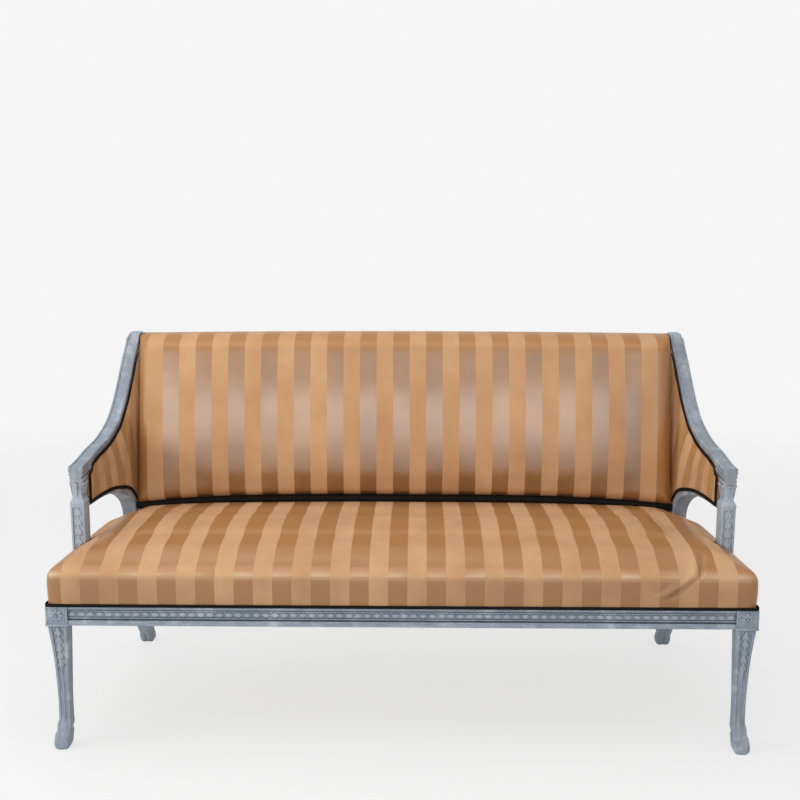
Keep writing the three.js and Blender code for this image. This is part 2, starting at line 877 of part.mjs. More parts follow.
// A point of the seat's surface, set in by an offset; the rim of a stuffing stands higher.
function seatPoint(column, row, offset, rimLift) {
  const place = paddedPlace(column, row, seatAcross, seatAlong, seatRings);
  const near = place.endInset + offset;
  const far = seatDepth - place.endInset - offset;
  const reach = seatRings.at(-1).inset + offset;
  const middleY = mix(reach, seatDepth - reach, place.alongShare);
  const atEdge = place.end.depth < seatRings.length - 1;
  const edgeY = place.end.low ? near : far;
  const y = atEdge ? edgeY : middleY;
  const half = halfWidthAt(y);
  const sideX = (half - place.sideInset - offset) * (place.side.low ? -1 : 1);
  const middleX = mix(-(half - reach), half - reach, place.acrossShare);
  const x = place.side.depth < seatRings.length - 1 ? sideX : middleX;
  const share = seatRings[place.ring].riseShare;
  const rise = mix(seatRimHeight, seatEdgeHeight, share);
  const crown = seatCrown * swell(place.acrossShare, place.alongShare);
  const z = share === 0 ? seatRimHeight + rimLift : rise + crown - offset;
  return new THREE.Vector3(x, y, z);
}

const stuffingOffset = coverThickness + 2 * clearance;
const webbingTop = railTop + clearance + webbingThickness;
const hessianBottom = webbingTop + clearance;
const hessianTop = hessianBottom + hessianThickness;

// The spaces that the posts, the arches and the stiles take out of the seat
const postNotch = block(
  [postInner - clearance, postFront - clearance, railBottom],
  [frontWidth / 2 + cutOverrun, postRear + clearance, backHeight],
);
const rearNotchFront = archRear - archThickness - clearance;
const rearNotchInner = archInnerRear - clearance;
const rearNotch = block(
  [rearNotchInner, rearNotchFront, railBottom],
  [frontWidth / 2 + cutOverrun, frameDepth, backHeight],
);
const archNotch = member(
  shifted(archTopLine, () => clearance),
  -clearance,
  archWidth + clearance,
  (y) => archThicknessAt(y) + 2 * clearance,
  0,
);
const rightNotches = [postNotch, rearNotch, archNotch];
const seatNotches = [...rightNotches, ...rightNotches.map(mirrored)];

function seatStuffingForm() {
  const rimLift = hessianTop + clearance - seatRimHeight + coverThickness;
  const floor = hessianTop + clearance;
  const top = (column, row) => seatPoint(column, row, stuffingOffset, rimLift);
  const bottom = (column, row) => top(column, row).setZ(floor);
  return cut(layer(top, bottom, seatAcross, seatAlong), ...seatNotches);
}
addPiece('seat_stuffing', seatStuffingForm(), stuffing);

function seatCoverForm() {
  const outer = (column, row) => seatPoint(column, row, 0, 0);
  const inner = (column, row) => seatPoint(column, row, coverThickness, 0);
  return cut(layer(outer, inner, seatAcross, seatAlong), ...seatNotches);
}
addPiece('seat_cover', seatCoverForm(), satin);

// Webbing: straps from front to rear, woven level with straps from side to side
function seatWebbing() {
  const front = hessianSetIn;
  const rear = seatDepth - hessianSetIn;
  const halfAt = (y) => halfWidthAt(y) - hessianSetIn;
  const columns = strapEdges(-halfAt(rear), halfAt(rear), seatStraps);
  const rows = strapEdges(front, rear, seatCrossStraps);
  const low = railTop + clearance;
  const placeAt = (z) => (u, y) => new THREE.Vector3((u * halfAt(y)) / halfAt(rear), y, z);
  return cut(strapNet(columns, rows, placeAt(low + webbingThickness), placeAt(low)), ...seatNotches);
}
addPiece('seat_webbing', seatWebbing(), hessian);

function seatHessian() {
  const front = hessianSetIn;
  const rear = seatDepth - hessianSetIn;
  const outline = [
    [-halfWidthAt(front) + hessianSetIn, front],
    [halfWidthAt(front) - hessianSetIn, front],
    [halfWidthAt(rear) - hessianSetIn, rear],
    [-halfWidthAt(rear) + hessianSetIn, rear],
  ];
  return cut(raised(outline, hessianBottom, hessianTop), ...seatNotches);
}
addPiece('seat_hessian', seatHessian(), hessian);

// Back pad, in the raked plane of the back: across, up, and forward from the rear of the frame
const padRings = ringsOf(padRollShares, padRoll);
const padAcross = padColumns + 2 * (padRings.length - 1);
const padAlong = padRows + 2 * (padRings.length - 1);
const rearPlane = backThickness;

// The same rings laid flat, for the rear of the stuffing
const padRearRings = padRings.map((ring, n) => ({
  inset: mix(padRings[0].inset, padRings.at(-1).inset, n / (padRings.length - 1)),
  riseShare: 0,
}));

function padPoint(column, row, offset, rimLift, rings = padRings) {
  const place = paddedPlace(column, row, padAcross, padAlong, rings);
  const last = rings.length - 1;
  const reach = rings[last].inset + offset;
  const atEdge = place.end.depth < last;
  const low = padBottom + place.endInset + offset;
  const high = backHeight - place.endInset - offset;
  const middleZ = mix(padBottom + reach, backHeight - reach, place.alongShare);
  const edgeZ = place.end.low ? low : high;
  const straightZ = atEdge ? edgeZ : middleZ;
  const up = (straightZ - padBottom) / (backHeight - padBottom);
  const half = mix(padHalfBottom, padHalfTop, up);
  const sideX = (half - place.sideInset - offset) * (place.side.low ? -1 : 1);
  const middleX = mix(-(half - reach), half - reach, place.acrossShare);
  const x = place.side.depth < last ? sideX : middleX;
  const droop = padDroop * (Math.abs(x) / padHalfBottom) ** droopPower * (1 - up);
  const z = straightZ - droop;
  const share = rings[place.ring].riseShare;
  const full = mix(padDepthBottom, padDepthTop, up);
  const crown = padCrown * swell(place.acrossShare, place.alongShare);
  const forward = share === 0 ? rimLift : mix(0, full, share) + crown - offset;
  return new THREE.Vector3(x, backFrontAt(z) + rearPlane - forward, z);
}

// The space of the back frame, which the upholstery wraps round: it is open over the crest rail.
function frameSpace(front) {
  return backMember(
    padBottom - padDroop - cutOverrun,
    crestRailTop + clearance,
    -frontWidth / 2,
    frontWidth / 2,
    front,
    rearPlane + cutOverrun,
  );
}

function backCoverForm() {
  const outer = (column, row) => padPoint(column, row, 0, 0);
  const inner = (column, row) => padPoint(column, row, coverThickness, 0);
  return cut(layer(outer, inner, padAcross, padAlong), frameSpace(-clearance));
}
addPiece('back_cover', backCoverForm(), satin);

const backWebbingFront = -(clearance + webbingThickness);
const backHessianFront = backWebbingFront - clearance - hessianThickness;

function backStuffingForm() {
  const front = (column, row) => padPoint(column, row, stuffingOffset, 2 * coverThickness);
  const rear = (column, row) => padPoint(column, row, stuffingOffset, coverThickness, padRearRings);
  return cut(layer(front, rear, padAcross, padAlong), frameSpace(backHessianFront - clearance));
}
addPiece('back_stuffing', backStuffingForm(), stuffing);

// Webbing and hessian on the front of the back frame, inside the cover
const backLow = padBottom + padRings[0].inset + stuffingOffset + clearance;
const backPanelHalf = padHalfTop - padRings[0].inset - stuffingOffset - clearance;

function backWebbing() {
  const columns = strapEdges(-backPanelHalf, backPanelHalf, backStraps);
  const rows = strapEdges(backLow, crestRailTop, backCrossStraps);
  const placeAt = (depth) => (x, z) => new THREE.Vector3(x, backFrontAt(z) + depth, z);
  return strapNet(columns, rows, placeAt(backWebbingFront), placeAt(-clearance));
}
addPiece('back_webbing', backWebbing(), hessian);
addPiece('back_hessian', backMember(
  backLow, crestRailTop, -backPanelHalf, backPanelHalf, backHessianFront, backWebbingFront - clearance,
), hessian);

// The outside of the back, and the braid round it
const outsideHalfBottom = stileInnerAt(outsideBackBottom) - clearance;
const outsideHalfTop = stileInnerAt(backHeight) - clearance;
const outsideTop = backHeight - padRings[0].inset;

// A flat strip that follows the rear of the back frame between two slanted sides.
function rearPanel(bottom, top, halfBottom, halfTop, front, rear) {
  const corners = (z, half, depth) => [
    new THREE.Vector3(-half, backFrontAt(z) + depth, z),
    new THREE.Vector3(half, backFrontAt(z) + depth, z),
  ];
  const [a, b] = corners(bottom, halfBottom, front);
  const [c, d] = corners(bottom, halfBottom, rear);
  const [e, f] = corners(top, halfTop, front);
  const [g, h] = corners(top, halfTop, rear);
  return loft([[a, b, d, c], [e, f, h, g]]);
}

const outsideFront = rearPlane + clearance;
const outsideRear = outsideFront + coverThickness;
addPiece('outside_back', rearPanel(
  outsideBackBottom, outsideTop, outsideHalfBottom, outsideHalfTop, outsideFront, outsideRear,
), satin);

function outsideBackGimp() {
  const front = outsideRear + clearance;
  const rear = front + gimpProud;
  const bar = (bottom, half) => rearPanel(bottom, bottom + gimpHeight, half, half, front, rear);
  const halfAt = (z) => {
    const share = (z - outsideBackBottom) / (outsideTop - outsideBackBottom);
    return mix(outsideHalfBottom, outsideHalfTop, share);
  };
  const upright = loft([outsideBackBottom + gimpHeight / 2, outsideTop - gimpHeight / 2].map((z) => {
    const corner = (x, depth) => new THREE.Vector3(x, backFrontAt(z) + depth, z);
    const outer = halfAt(z);
    const inner = outer - gimpHeight;
    return [corner(inner, front), corner(outer, front), corner(outer, rear), corner(inner, rear)];
  }));
  return joined([
    bar(outsideBackBottom, outsideHalfBottom),
    bar(outsideTop - gimpHeight, outsideHalfTop),
    upright,
    mirrored(upright),
  ]);
}
addPiece('outside_back_gimp', outsideBackGimp(), blackBraid);

// The black roll under the lower edge of the back pad
function backBand() {
  const rings = [];
  const half = padHalfBottom - padRings[0].inset;
  const frontEdge = backFrontAt(padBottom) + rearPlane - padDepthBottom + padRings.at(-1).inset / 2;
  for (let step = 0; step <= bandSteps; step += 1) {
    const x = mix(-half, half, step / bandSteps);
    const droop = padDroop * (Math.abs(x) / padHalfBottom) ** droopPower;
    const middle = padBottom - droop - clearance - bandHeight / 2;
    const ring = [];
    for (let side = 0; side < bandSides; side += 1) {
      const angle = (2 * Math.PI * side) / bandSides;
      ring.push(new THREE.Vector3(
        x,
        frontEdge + (bandDepth / 2) * (1 + Math.cos(angle)),
        middle + (bandHeight / 2) * Math.sin(angle),
      ));
    }
    rings.push(ring);
  }
  return loft(rings);
}
addPiece('back_band', backBand(), blackBraid);

// The panel of each arm, between the arm rail and the arch, from the post to the stile.
// Its layers are made a little too tall, tucked into both, and then trimmed to them.
const archTop = shifted(archTopLine, () => -panelTuck);
const armUnder = shifted(armTopLine, (y) => panelTuck - armThicknessAt(y));
const armTrim = member(
  shifted(armTopLine, () => clearance),
  -armWidth / 2 - cutOverrun,
  armWidth / 2 + cutOverrun,
  (y) => armThicknessAt(y) + 2 * clearance,
  0,
);
const archTrim = member(
  shifted(archTopLine, () => clearance),
  -cutOverrun,
  archWidth + cutOverrun,
  (y) => archThicknessAt(y) + 2 * clearance,
  0,
);

// The point where a gauge crosses zero between two points.
function crossing(from, to, gauge) {
  const a = gauge(from);
  const b = gauge(to);
  return a * b < 0 ? from.clone().lerp(to, a / (a - b)) : to.clone();
}

// The stretch of a line that lies between the post and the stile.
function panelEdge(line) {
  const front = postRear + clearance;
  const isInside = (point) => point.y > front && point.y < backFrontAt(point.z) - clearance;
  const first = line.findIndex(isInside);
  const start = crossing(line[Math.max(first - 1, 0)], line[first], (point) => point.y - front);
  const inside = line.filter(isInside);
  const after = line[first + inside.length] ?? inside.at(-1);
  const end = crossing(inside.at(-1), after, (point) => point.y - backFrontAt(point.z) + clearance);
  return [start, ...inside, end];
}

// A line taken at a number of even steps along its own points.
function resampled(points, steps) {
  const path = new THREE.CurvePath();
  for (let n = 0; n + 1 < points.length; n += 1) {
    if (points[n].distanceTo(points[n + 1]) > clearance) {
      path.add(new THREE.LineCurve3(points[n], points[n + 1]));
    }
  }
  return path.getSpacedPoints(steps);
}

const panelLowest = mix(railTop, archSpring, panelLowestShare);

// The lower edge follows the arch and then runs back to the stile; the upper one follows the arm.
function lowerPanelEdge() {
  const along = archTop.filter((point) => point.z > panelLowest && point.y > postRear + clearance);
  const last = along.at(-1);
  const atStile = last.clone().setY(backFrontAt(last.z) - clearance);
  const first = along[0].clone().setY(postRear + clearance);
  return resampled([first, ...along, atStile], panelSteps);
}

function upperPanelEdge() {
  return resampled(panelEdge(armUnder), panelSteps);
}
const panelBelow = lowerPanelEdge();
const panelAbove = upperPanelEdge();

// A point of the arm panel: across from its inner face by an offset, and bowed inward by a crown.
function armPanelPoint(column, row, offset, crown) {
  const point = panelBelow[column].clone().lerp(panelAbove[column], row / armRows);
  const upper = panelAbove[column].x - armWidth / 2;
  const inner = mix(panelBelow[column].x, upper, row / armRows);
  const along = Math.sin((Math.PI * column) / panelSteps);
  const bow = crown * along * Math.sin((Math.PI * row) / armRows);
  return point.setX(inner + offset - bow);
}

function armLayer(from, to, crownFrom, crownTo) {
  const inner = (column, row) => armPanelPoint(column, row, from, crownFrom);
  const outer = (column, row) => armPanelPoint(column, row, to, crownTo);
  return cut(layer(outer, inner, panelSteps, armRows), armTrim, archTrim);
}
const armStuffingFrom = coverThickness + clearance;
const armStuffingTo = armStuffingFrom + armStuffing;
const armHessianFrom = armStuffingTo + clearance;
const outsideArmTo = armWidth - outsidePanelSetIn;
addPair('arm_cover', armLayer(0, coverThickness, armCrown, armCrown), satin);
addPair('arm_stuffing', armLayer(armStuffingFrom, armStuffingTo, armCrown, 0), stuffing);
addPair('arm_hessian', armLayer(armHessianFrom, armHessianFrom + hessianThickness, 0, 0), hessian);
addPair('outside_arm', armLayer(outsideArmTo - coverThickness, outsideArmTo, 0, 0), satin);

// Braid round an arm panel, on its face at an offset and proud to one side of it
function armBraid(offset, side) {
  const lift = new THREE.Vector3(side * gimpProud, 0, 0);
  const faceAt = (column, share) => armPanelPoint(column, share * armRows, offset, armCrown).x;
  const edge = (from, to, fromShare) => loft(from.map((point, column) => {
    const across = new THREE.Vector3().subVectors(to[column], point).setX(0);
    const share = (gimpHeight + panelTuck) / across.length();
    const farShare = Math.abs(fromShare - share);
    const near = point.clone().setX(faceAt(column, fromShare));
    const far = point.clone().addScaledVector(across, share).setX(faceAt(column, farShare));
    return [near, far, far.clone().add(lift), near.clone().add(lift)];
  }));
  const frontEdge = loft([0, 1].map((share) => {
    const near = panelBelow[0].clone().lerp(panelAbove[0], share).setX(faceAt(0, share));
    const far = near.clone().add(new THREE.Vector3(0, gimpHeight, 0));
    return [near, far, far.clone().add(lift), near.clone().add(lift)];
  }));
  const overSeat = panelBelow.filter((point) => point.z > seatEdgeHeight + seatCrown).length;
  const lower = edge(panelBelow.slice(0, overSeat), panelAbove.slice(0, overSeat), 0);
  const upper = edge(panelAbove.slice(0, panelSteps - 1), panelBelow.slice(0, panelSteps - 1), 1);
  return cut(joined([lower, upper, frontEdge]), armTrim, archTrim);
}
addPair('arm_gimp', armBraid(-2 * clearance, -1), blackBraid);

// Braid round the foot of the seat cover: along the front and back to each arm post
function seatGimp() {
  const low = railTop + clearance;
  const rear = postFront - clearance;
  const right = [
    [halfWidthAt(0) + gimpProud, -gimpProud],
    [halfWidthAt(rear) + gimpProud, rear],
    [halfWidthAt(rear) + clearance, rear],
    [halfWidthAt(0) + clearance, -clearance],
  ];
  const left = right.map(([x, y]) => [-x, y]).reverse();
  return raised([...right, ...left], low, low + gimpHeight);
}
addPiece('seat_gimp', seatGimp(), blackBraid);

function seatSideGimp() {
  const low = railTop + clearance;
  const front = postRear + clearance;
  const rear = rearNotchFront - clearance;
  return raised([
    [halfWidthAt(front) + clearance, front],
    [halfWidthAt(front) + gimpProud, front],
    [halfWidthAt(rear) + gimpProud, rear],
    [halfWidthAt(rear) + clearance, rear],
  ], low, low + gimpHeight);
}
addPair('seat_side_gimp', seatSideGimp(), blackBraid);

export default settee;
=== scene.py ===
"""A painted settee in the late Gustavian manner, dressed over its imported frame.

Metres, +Z up. The front looks along -Y, and left and right are as seen from the front.
"""
import logging
import math
from collections.abc import Callable, Iterable, Sequence
from dataclasses import dataclass
from enum import Enum

import bmesh
import bpy
from mathutils import Matrix, Vector, noise


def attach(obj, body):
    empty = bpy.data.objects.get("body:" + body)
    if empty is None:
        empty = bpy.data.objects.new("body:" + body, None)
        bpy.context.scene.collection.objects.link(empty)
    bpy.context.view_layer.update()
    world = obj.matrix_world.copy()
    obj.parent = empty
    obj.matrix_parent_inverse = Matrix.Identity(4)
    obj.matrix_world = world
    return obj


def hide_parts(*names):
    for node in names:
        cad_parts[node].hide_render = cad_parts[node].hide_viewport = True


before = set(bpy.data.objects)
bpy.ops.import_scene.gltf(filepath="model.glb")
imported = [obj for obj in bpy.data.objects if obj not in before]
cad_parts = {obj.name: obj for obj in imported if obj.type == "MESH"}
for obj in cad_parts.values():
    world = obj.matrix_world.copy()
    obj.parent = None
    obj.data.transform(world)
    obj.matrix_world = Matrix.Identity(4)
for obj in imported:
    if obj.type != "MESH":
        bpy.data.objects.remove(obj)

LOG = logging.getLogger("settee")
BODY = "root"
FRONT_Y = -0.35175
CLEARANCE = 0.0003
SAWN_EDGE = 0.0008
OUTSIDE_CLOTH = 0.0015
UP = Vector((0, 0, 1))

Mesh = bmesh.types.BMesh
Piece = bpy.types.Object
Socket = bpy.types.NodeSocket
Pairs = list[tuple[float, float]]


class Side(Enum):
    """A side of the settee as seen from the front, with the sign of its x."""

    LEFT = -1
    RIGHT = 1

    @property
    def word(self) -> str:
        """The side's name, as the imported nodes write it."""
        return self.name.lower()


@dataclass(frozen=True)
class Plan:
    """The sizes that the frame and the upholstery share, in metres."""

    half_front: float = 0.8025
    side_taper: float = 0.0742
    rail_top: float = 0.348
    rail_height: float = 0.045
    block: float = 0.050
    back_height: float = 0.905
    stile_front: float = 0.545
    stile_depth_seat: float = 0.053
    stile_depth_top: float = 0.038
    stile_top: float = 0.900
    stile_width: float = 0.045
    stile_top_width: float = 0.032
    rake: float = 0.104
    rear_half: float = 0.75906
    rear_top_half: float = 0.74006
    post_front: float = 0.165
    post_depth: float = 0.043
    post_width: float = 0.032
    post_outer: float = 0.78396
    arm_front: float = 0.155
    arm_front_height: float = 0.637
    arm_outer: float = 0.784
    arm_width: float = 0.034
    arm_thickness: float = 0.017
    terminal_thickness: float = 0.031
    terminal_length: float = 0.072
    arch_rear: float = 0.514
    arch_inner_rear: float = 0.70906
    arch_spring: float = 0.534
    seat_edge: float = 0.467
    stripe: float = 0.0433

    @property
    def rail_bottom(self) -> float:
        """The height of the lower edge of the seat rails."""
        return self.rail_top - self.rail_height

    @property
    def post_rear(self) -> float:
        """How far the rear of an arm post lies behind the front."""
        return self.post_front + self.post_depth

    @property
    def post_inner(self) -> float:
        """The distance from the middle to the inner face of an arm post."""
        return self.post_outer - self.post_width

    def y(self, behind: float) -> float:
        """The y coordinate of a place so far behind the front face of the frame."""
        return FRONT_Y + behind

    def half_at(self, behind: float) -> float:
        """Half the width of the seat frame, so far behind its front face."""
        return self.half_front - self.side_taper * behind

    def back_front(self, z: float) -> float:
        """The y coordinate of the front face of the stiles at a height."""
        return self.y(self.stile_front + self.rake * (z - self.rail_top))

    def stile_inner(self, z: float) -> float:
        """The distance from the middle to a stile at a height."""
        share = (z - self.rail_top) / (self.stile_top - self.rail_top)
        low = self.rear_half - self.stile_width
        return mix(low, self.rear_top_half - self.stile_top_width, share)


def mix(low: float, high: float, share: float) -> float:
    """The value that lies a share of the way from one number to another."""
    return low + (high - low) * share


def clamp(value: float, low: float = 0.0, high: float = 1.0) -> float:
    """The value, held between two limits."""
    return max(low, min(high, value))


def smooth(low: float, high: float, value: float) -> float:
    """A soft step from 0 at one value to 1 at another."""
    share = clamp((value - low) / (high - low))
    return share * share * (3 - 2 * share)


def bell(value: float, width: float) -> float:
    """A soft bump, 1 at zero and almost 0 from twice its width on."""
    return math.exp(-((value / width) ** 2))


PLAN = Plan()


# Materials


def linear(colour: str) -> tuple[float, float, float, float]:
    """Turns an sRGB hex colour, such as "a0b1c2", into linear red, green, blue and alpha."""
    values = [int(colour[n:n + 2], 16) / 255 for n in (0, 2, 4)]
    turned = [v / 12.92 if v <= 0.04045 else ((v + 0.055) / 1.055) ** 2.4 for v in values]
    return (*turned, 1.0)


class Nodes:
    """The node tree of a material or of the world, with short ways to add to it."""

    def __init__(self, owner: bpy.types.ID) -> None:
        """Empties the tree of its owner."""
        owner.use_nodes = True
        self.tree = owner.node_tree
        self.tree.nodes.clear()

    def add(self, kind: str, settings: dict | None = None,
            inputs: dict | None = None) -> bpy.types.Node:
        """Adds a node with its settings and its inputs.

        Args:
            kind: The node's type name, without the words that all shader nodes share.
            settings: Properties of the node.
            inputs: A socket, a value or a hex colour for each input, by name or number.

        Returns:
            The new node.
        """
        node = self.tree.nodes.new(f"ShaderNode{kind}")
        for name, value in (settings or {}).items():
            setattr(node, name, value)
        for key, value in (inputs or {}).items():
            if isinstance(value, Socket):
                self.tree.links.new(value, node.inputs[key])
            else:
                node.inputs[key].default_value = linear(value) if isinstance(value, str) else value
        return node

    def mix(self, share: object, low: object, high: object, mode: str = "MIX") -> Socket:
        """Mixes two colours, by how much of the second."""
        settings = {"data_type": "RGBA", "blend_type": mode}
        return self.add("Mix", settings, {0: share, 6: low, 7: high}).outputs[2]

    def sum(self, operation: str, *values: object) -> Socket:
        """Works out a sum from sockets or numbers."""
        return self.add("Math", {"operation": operation}, dict(enumerate(values))).outputs[0]

    def times(self, one: object, other: object) -> Socket:
        """One value times another."""
        return self.sum("MULTIPLY", one, other)

    def wave(self, value: Socket, length: float) -> Socket:
        """A sine wave of a real length."""
        return self.sum("SINE", self.times(value, 2 * math.pi / length))

    def ranged(self, value: object, start: float, end: float, low: float = 0.0, high: float = 1.0,
               curve: str = "LINEAR") -> Socket:
        """Carries a value from the range of start to end to that of low to high."""
        inputs = {"Value": value, "From Min": start, "From Max": end, "To Min": low, "To Max": high}
        return self.add("MapRange", {"interpolation_type": curve}, inputs).outputs[0]

    def grain(self, place: Socket, size: float, detail: float = 4.0, rough: float = 0.55) -> Socket:
        """A cloudy pattern, about 0.5 in the middle, whose patches have a real size."""
        inputs = {"Vector": place, "Scale": 1 / size, "Detail": detail, "Roughness": rough}
        return self.add("TexNoise", None, inputs).outputs[0]

    def stretched(self, place: Socket, scale: tuple[float, float, float]) -> Socket:
        """The coordinates, drawn out along some axes."""
        return self.add("Mapping", None, {"Vector": place, "Scale": scale}).outputs[0]

    def place(self) -> Socket:
        """The place in the object's own coordinates, which are metres."""
        return self.add("TexCoord").outputs["Object"]

    def own(self, name: str) -> Socket:
        """A value that the piece carries at its points."""
        return self.add("Attribute", {"attribute_name": name}).outputs["Fac"]

    def hollow(self, reach: float, start: float, end: float, inside: bool = False,
               curve: str = "LINEAR") -> Socket:
        """Where the surface is closed in within a distance, or juts out if inside is set."""
        node = self.add("AmbientOcclusion", {"samples": 8, "inside": inside}, {"Distance": reach})
        return self.ranged(node.outputs["AO"], start, end, curve=curve)

    def bump(self, height: Socket, strength: float, distance: float) -> Socket:
        """A normal that is bent by a height."""
        inputs = {"Height": height, "Strength": strength, "Distance": distance}
        return self.add("Bump", None, inputs).outputs[0]


@dataclass(frozen=True)
class Finish:
    """What the pieces of one material share: its name and the name of a slot for it."""

    name: str
    slot: str

    def material(self) -> bpy.types.Material:
        """Makes the material the first time, and hands it out after that."""
        made = bpy.data.materials.get(self.name)
        if not made:
            made = bpy.data.materials.new(self.name)
            nodes = Nodes(made)
            shader = nodes.add("BsdfPrincipled", None, self.surface(nodes))
            nodes.add("OutputMaterial", None, {"Surface": shader.outputs[0]})
        return made

    def surface(self, nodes: Nodes) -> dict[str, object]:
        """Draws the surface.

        Args:
            nodes: The material's nodes.

        Returns:
            What goes into each of the shader's inputs.
        """
        raise NotImplementedError


@dataclass(frozen=True)
class DistemperedBeech(Finish):
    """Carved beech under an old grey-blue glue paint, matte and a little chalky.

    It is rubbed pale on the high edges, also a painted highlight, and painted shade darkens the
    cuts of the carving. Brush strokes are 3 mm wide and 30 mm long.
    """

    body: str = "87919d"
    pale: str = "b4bcc4"
    deep: str = "343b43"
    wood: str = "75695f"
    patch: float = 0.045
    brush: float = 0.0035
    stroke_width: float = 0.003
    stroke: tuple[float, float, float] = (1.0, 1.0, 0.10)
    cut_width: float = 0.007
    arris_width: float = 0.0025
    chip: float = 0.011

    def surface(self, nodes: Nodes) -> dict[str, object]:
        """Lays worn paint over wood, from broad patches down to brush marks."""
        place = nodes.place()
        broad = nodes.grain(place, self.patch, 5)
        fine = nodes.grain(place, self.brush, 3, 0.7)
        strokes = nodes.grain(nodes.stretched(place, self.stroke), self.stroke_width, 3, 0.6)
        speckle = nodes.times(nodes.ranged(fine, 0.55, 0.75), 0.35)
        # Painted shade: ambient occlusion darkens the cuts of the carving
        cut = nodes.hollow(self.cut_width, 0.94, 0.40, curve="SMOOTHSTEP")
        # Rubbed paint on the arrises, which also paints in the highlight that the edges catch
        arris = nodes.hollow(self.arris_width, 0.62, 0.25, inside=True)
        rubbed_edge_and_highlight = nodes.times(arris, nodes.ranged(fine, 0.40, 0.62))
        chips = nodes.ranged(nodes.grain(place, self.chip, 2), 0.68, 0.72)
        worn = nodes.ranged(broad, 0.46, 0.78, curve="SMOOTHSTEP")
        colour = nodes.mix(worn, self.body, self.pale)
        for share, over in (
            (speckle, self.deep),
            (nodes.ranged(strokes, 0.52, 0.72, 0, 0.42), self.pale),
            (nodes.ranged(strokes, 0.44, 0.28, 0, 0.35), self.deep),
            # painted shade in the cuts of the carving
            (nodes.times(cut, 0.68), self.deep),
            # rubbed edges, and a painted edge highlight
            (nodes.times(rubbed_edge_and_highlight, 0.45), self.pale),
            (nodes.times(chips, 0.5), self.wood),
        ):
            colour = nodes.mix(share, colour, over)
        return {
            "Base Color": colour,
            "Roughness": nodes.ranged(fine, 0.3, 0.7, 0.50, 0.68),
            "Normal": nodes.bump(nodes.sum("ADD", fine, broad), 0.35, 0.0008),
            "IOR": 1.45,
        }


@dataclass(frozen=True)
class SawnBeech(Finish):
    """Bare beech as the saw left it: pale brown, long grain and fine flecks."""

    body: str = "b08d63"
    dark: str = "7d5c3a"
    ring: float = 0.012
    fleck: float = 0.0022

    def surface(self, nodes: Nodes) -> dict[str, object]:
        """Draws stretched grain with flecks and saw marks."""
        place = nodes.place()
        rings = nodes.grain(nodes.stretched(place, (0.15, 0.15, 1.0)), self.ring, 6, 0.6)
        flecks = nodes.ranged(nodes.grain(place, self.fleck, 2), 0.62, 0.70)
        colour = nodes.mix(nodes.ranged(rings, 0.35, 0.7), self.body, self.dark)
        colour = nodes.mix(nodes.times(flecks, 0.4), colour, self.dark)
        return {"Base Color": colour, "Roughness": 0.78, "Normal": nodes.bump(rings, 0.4, 0.0006)}


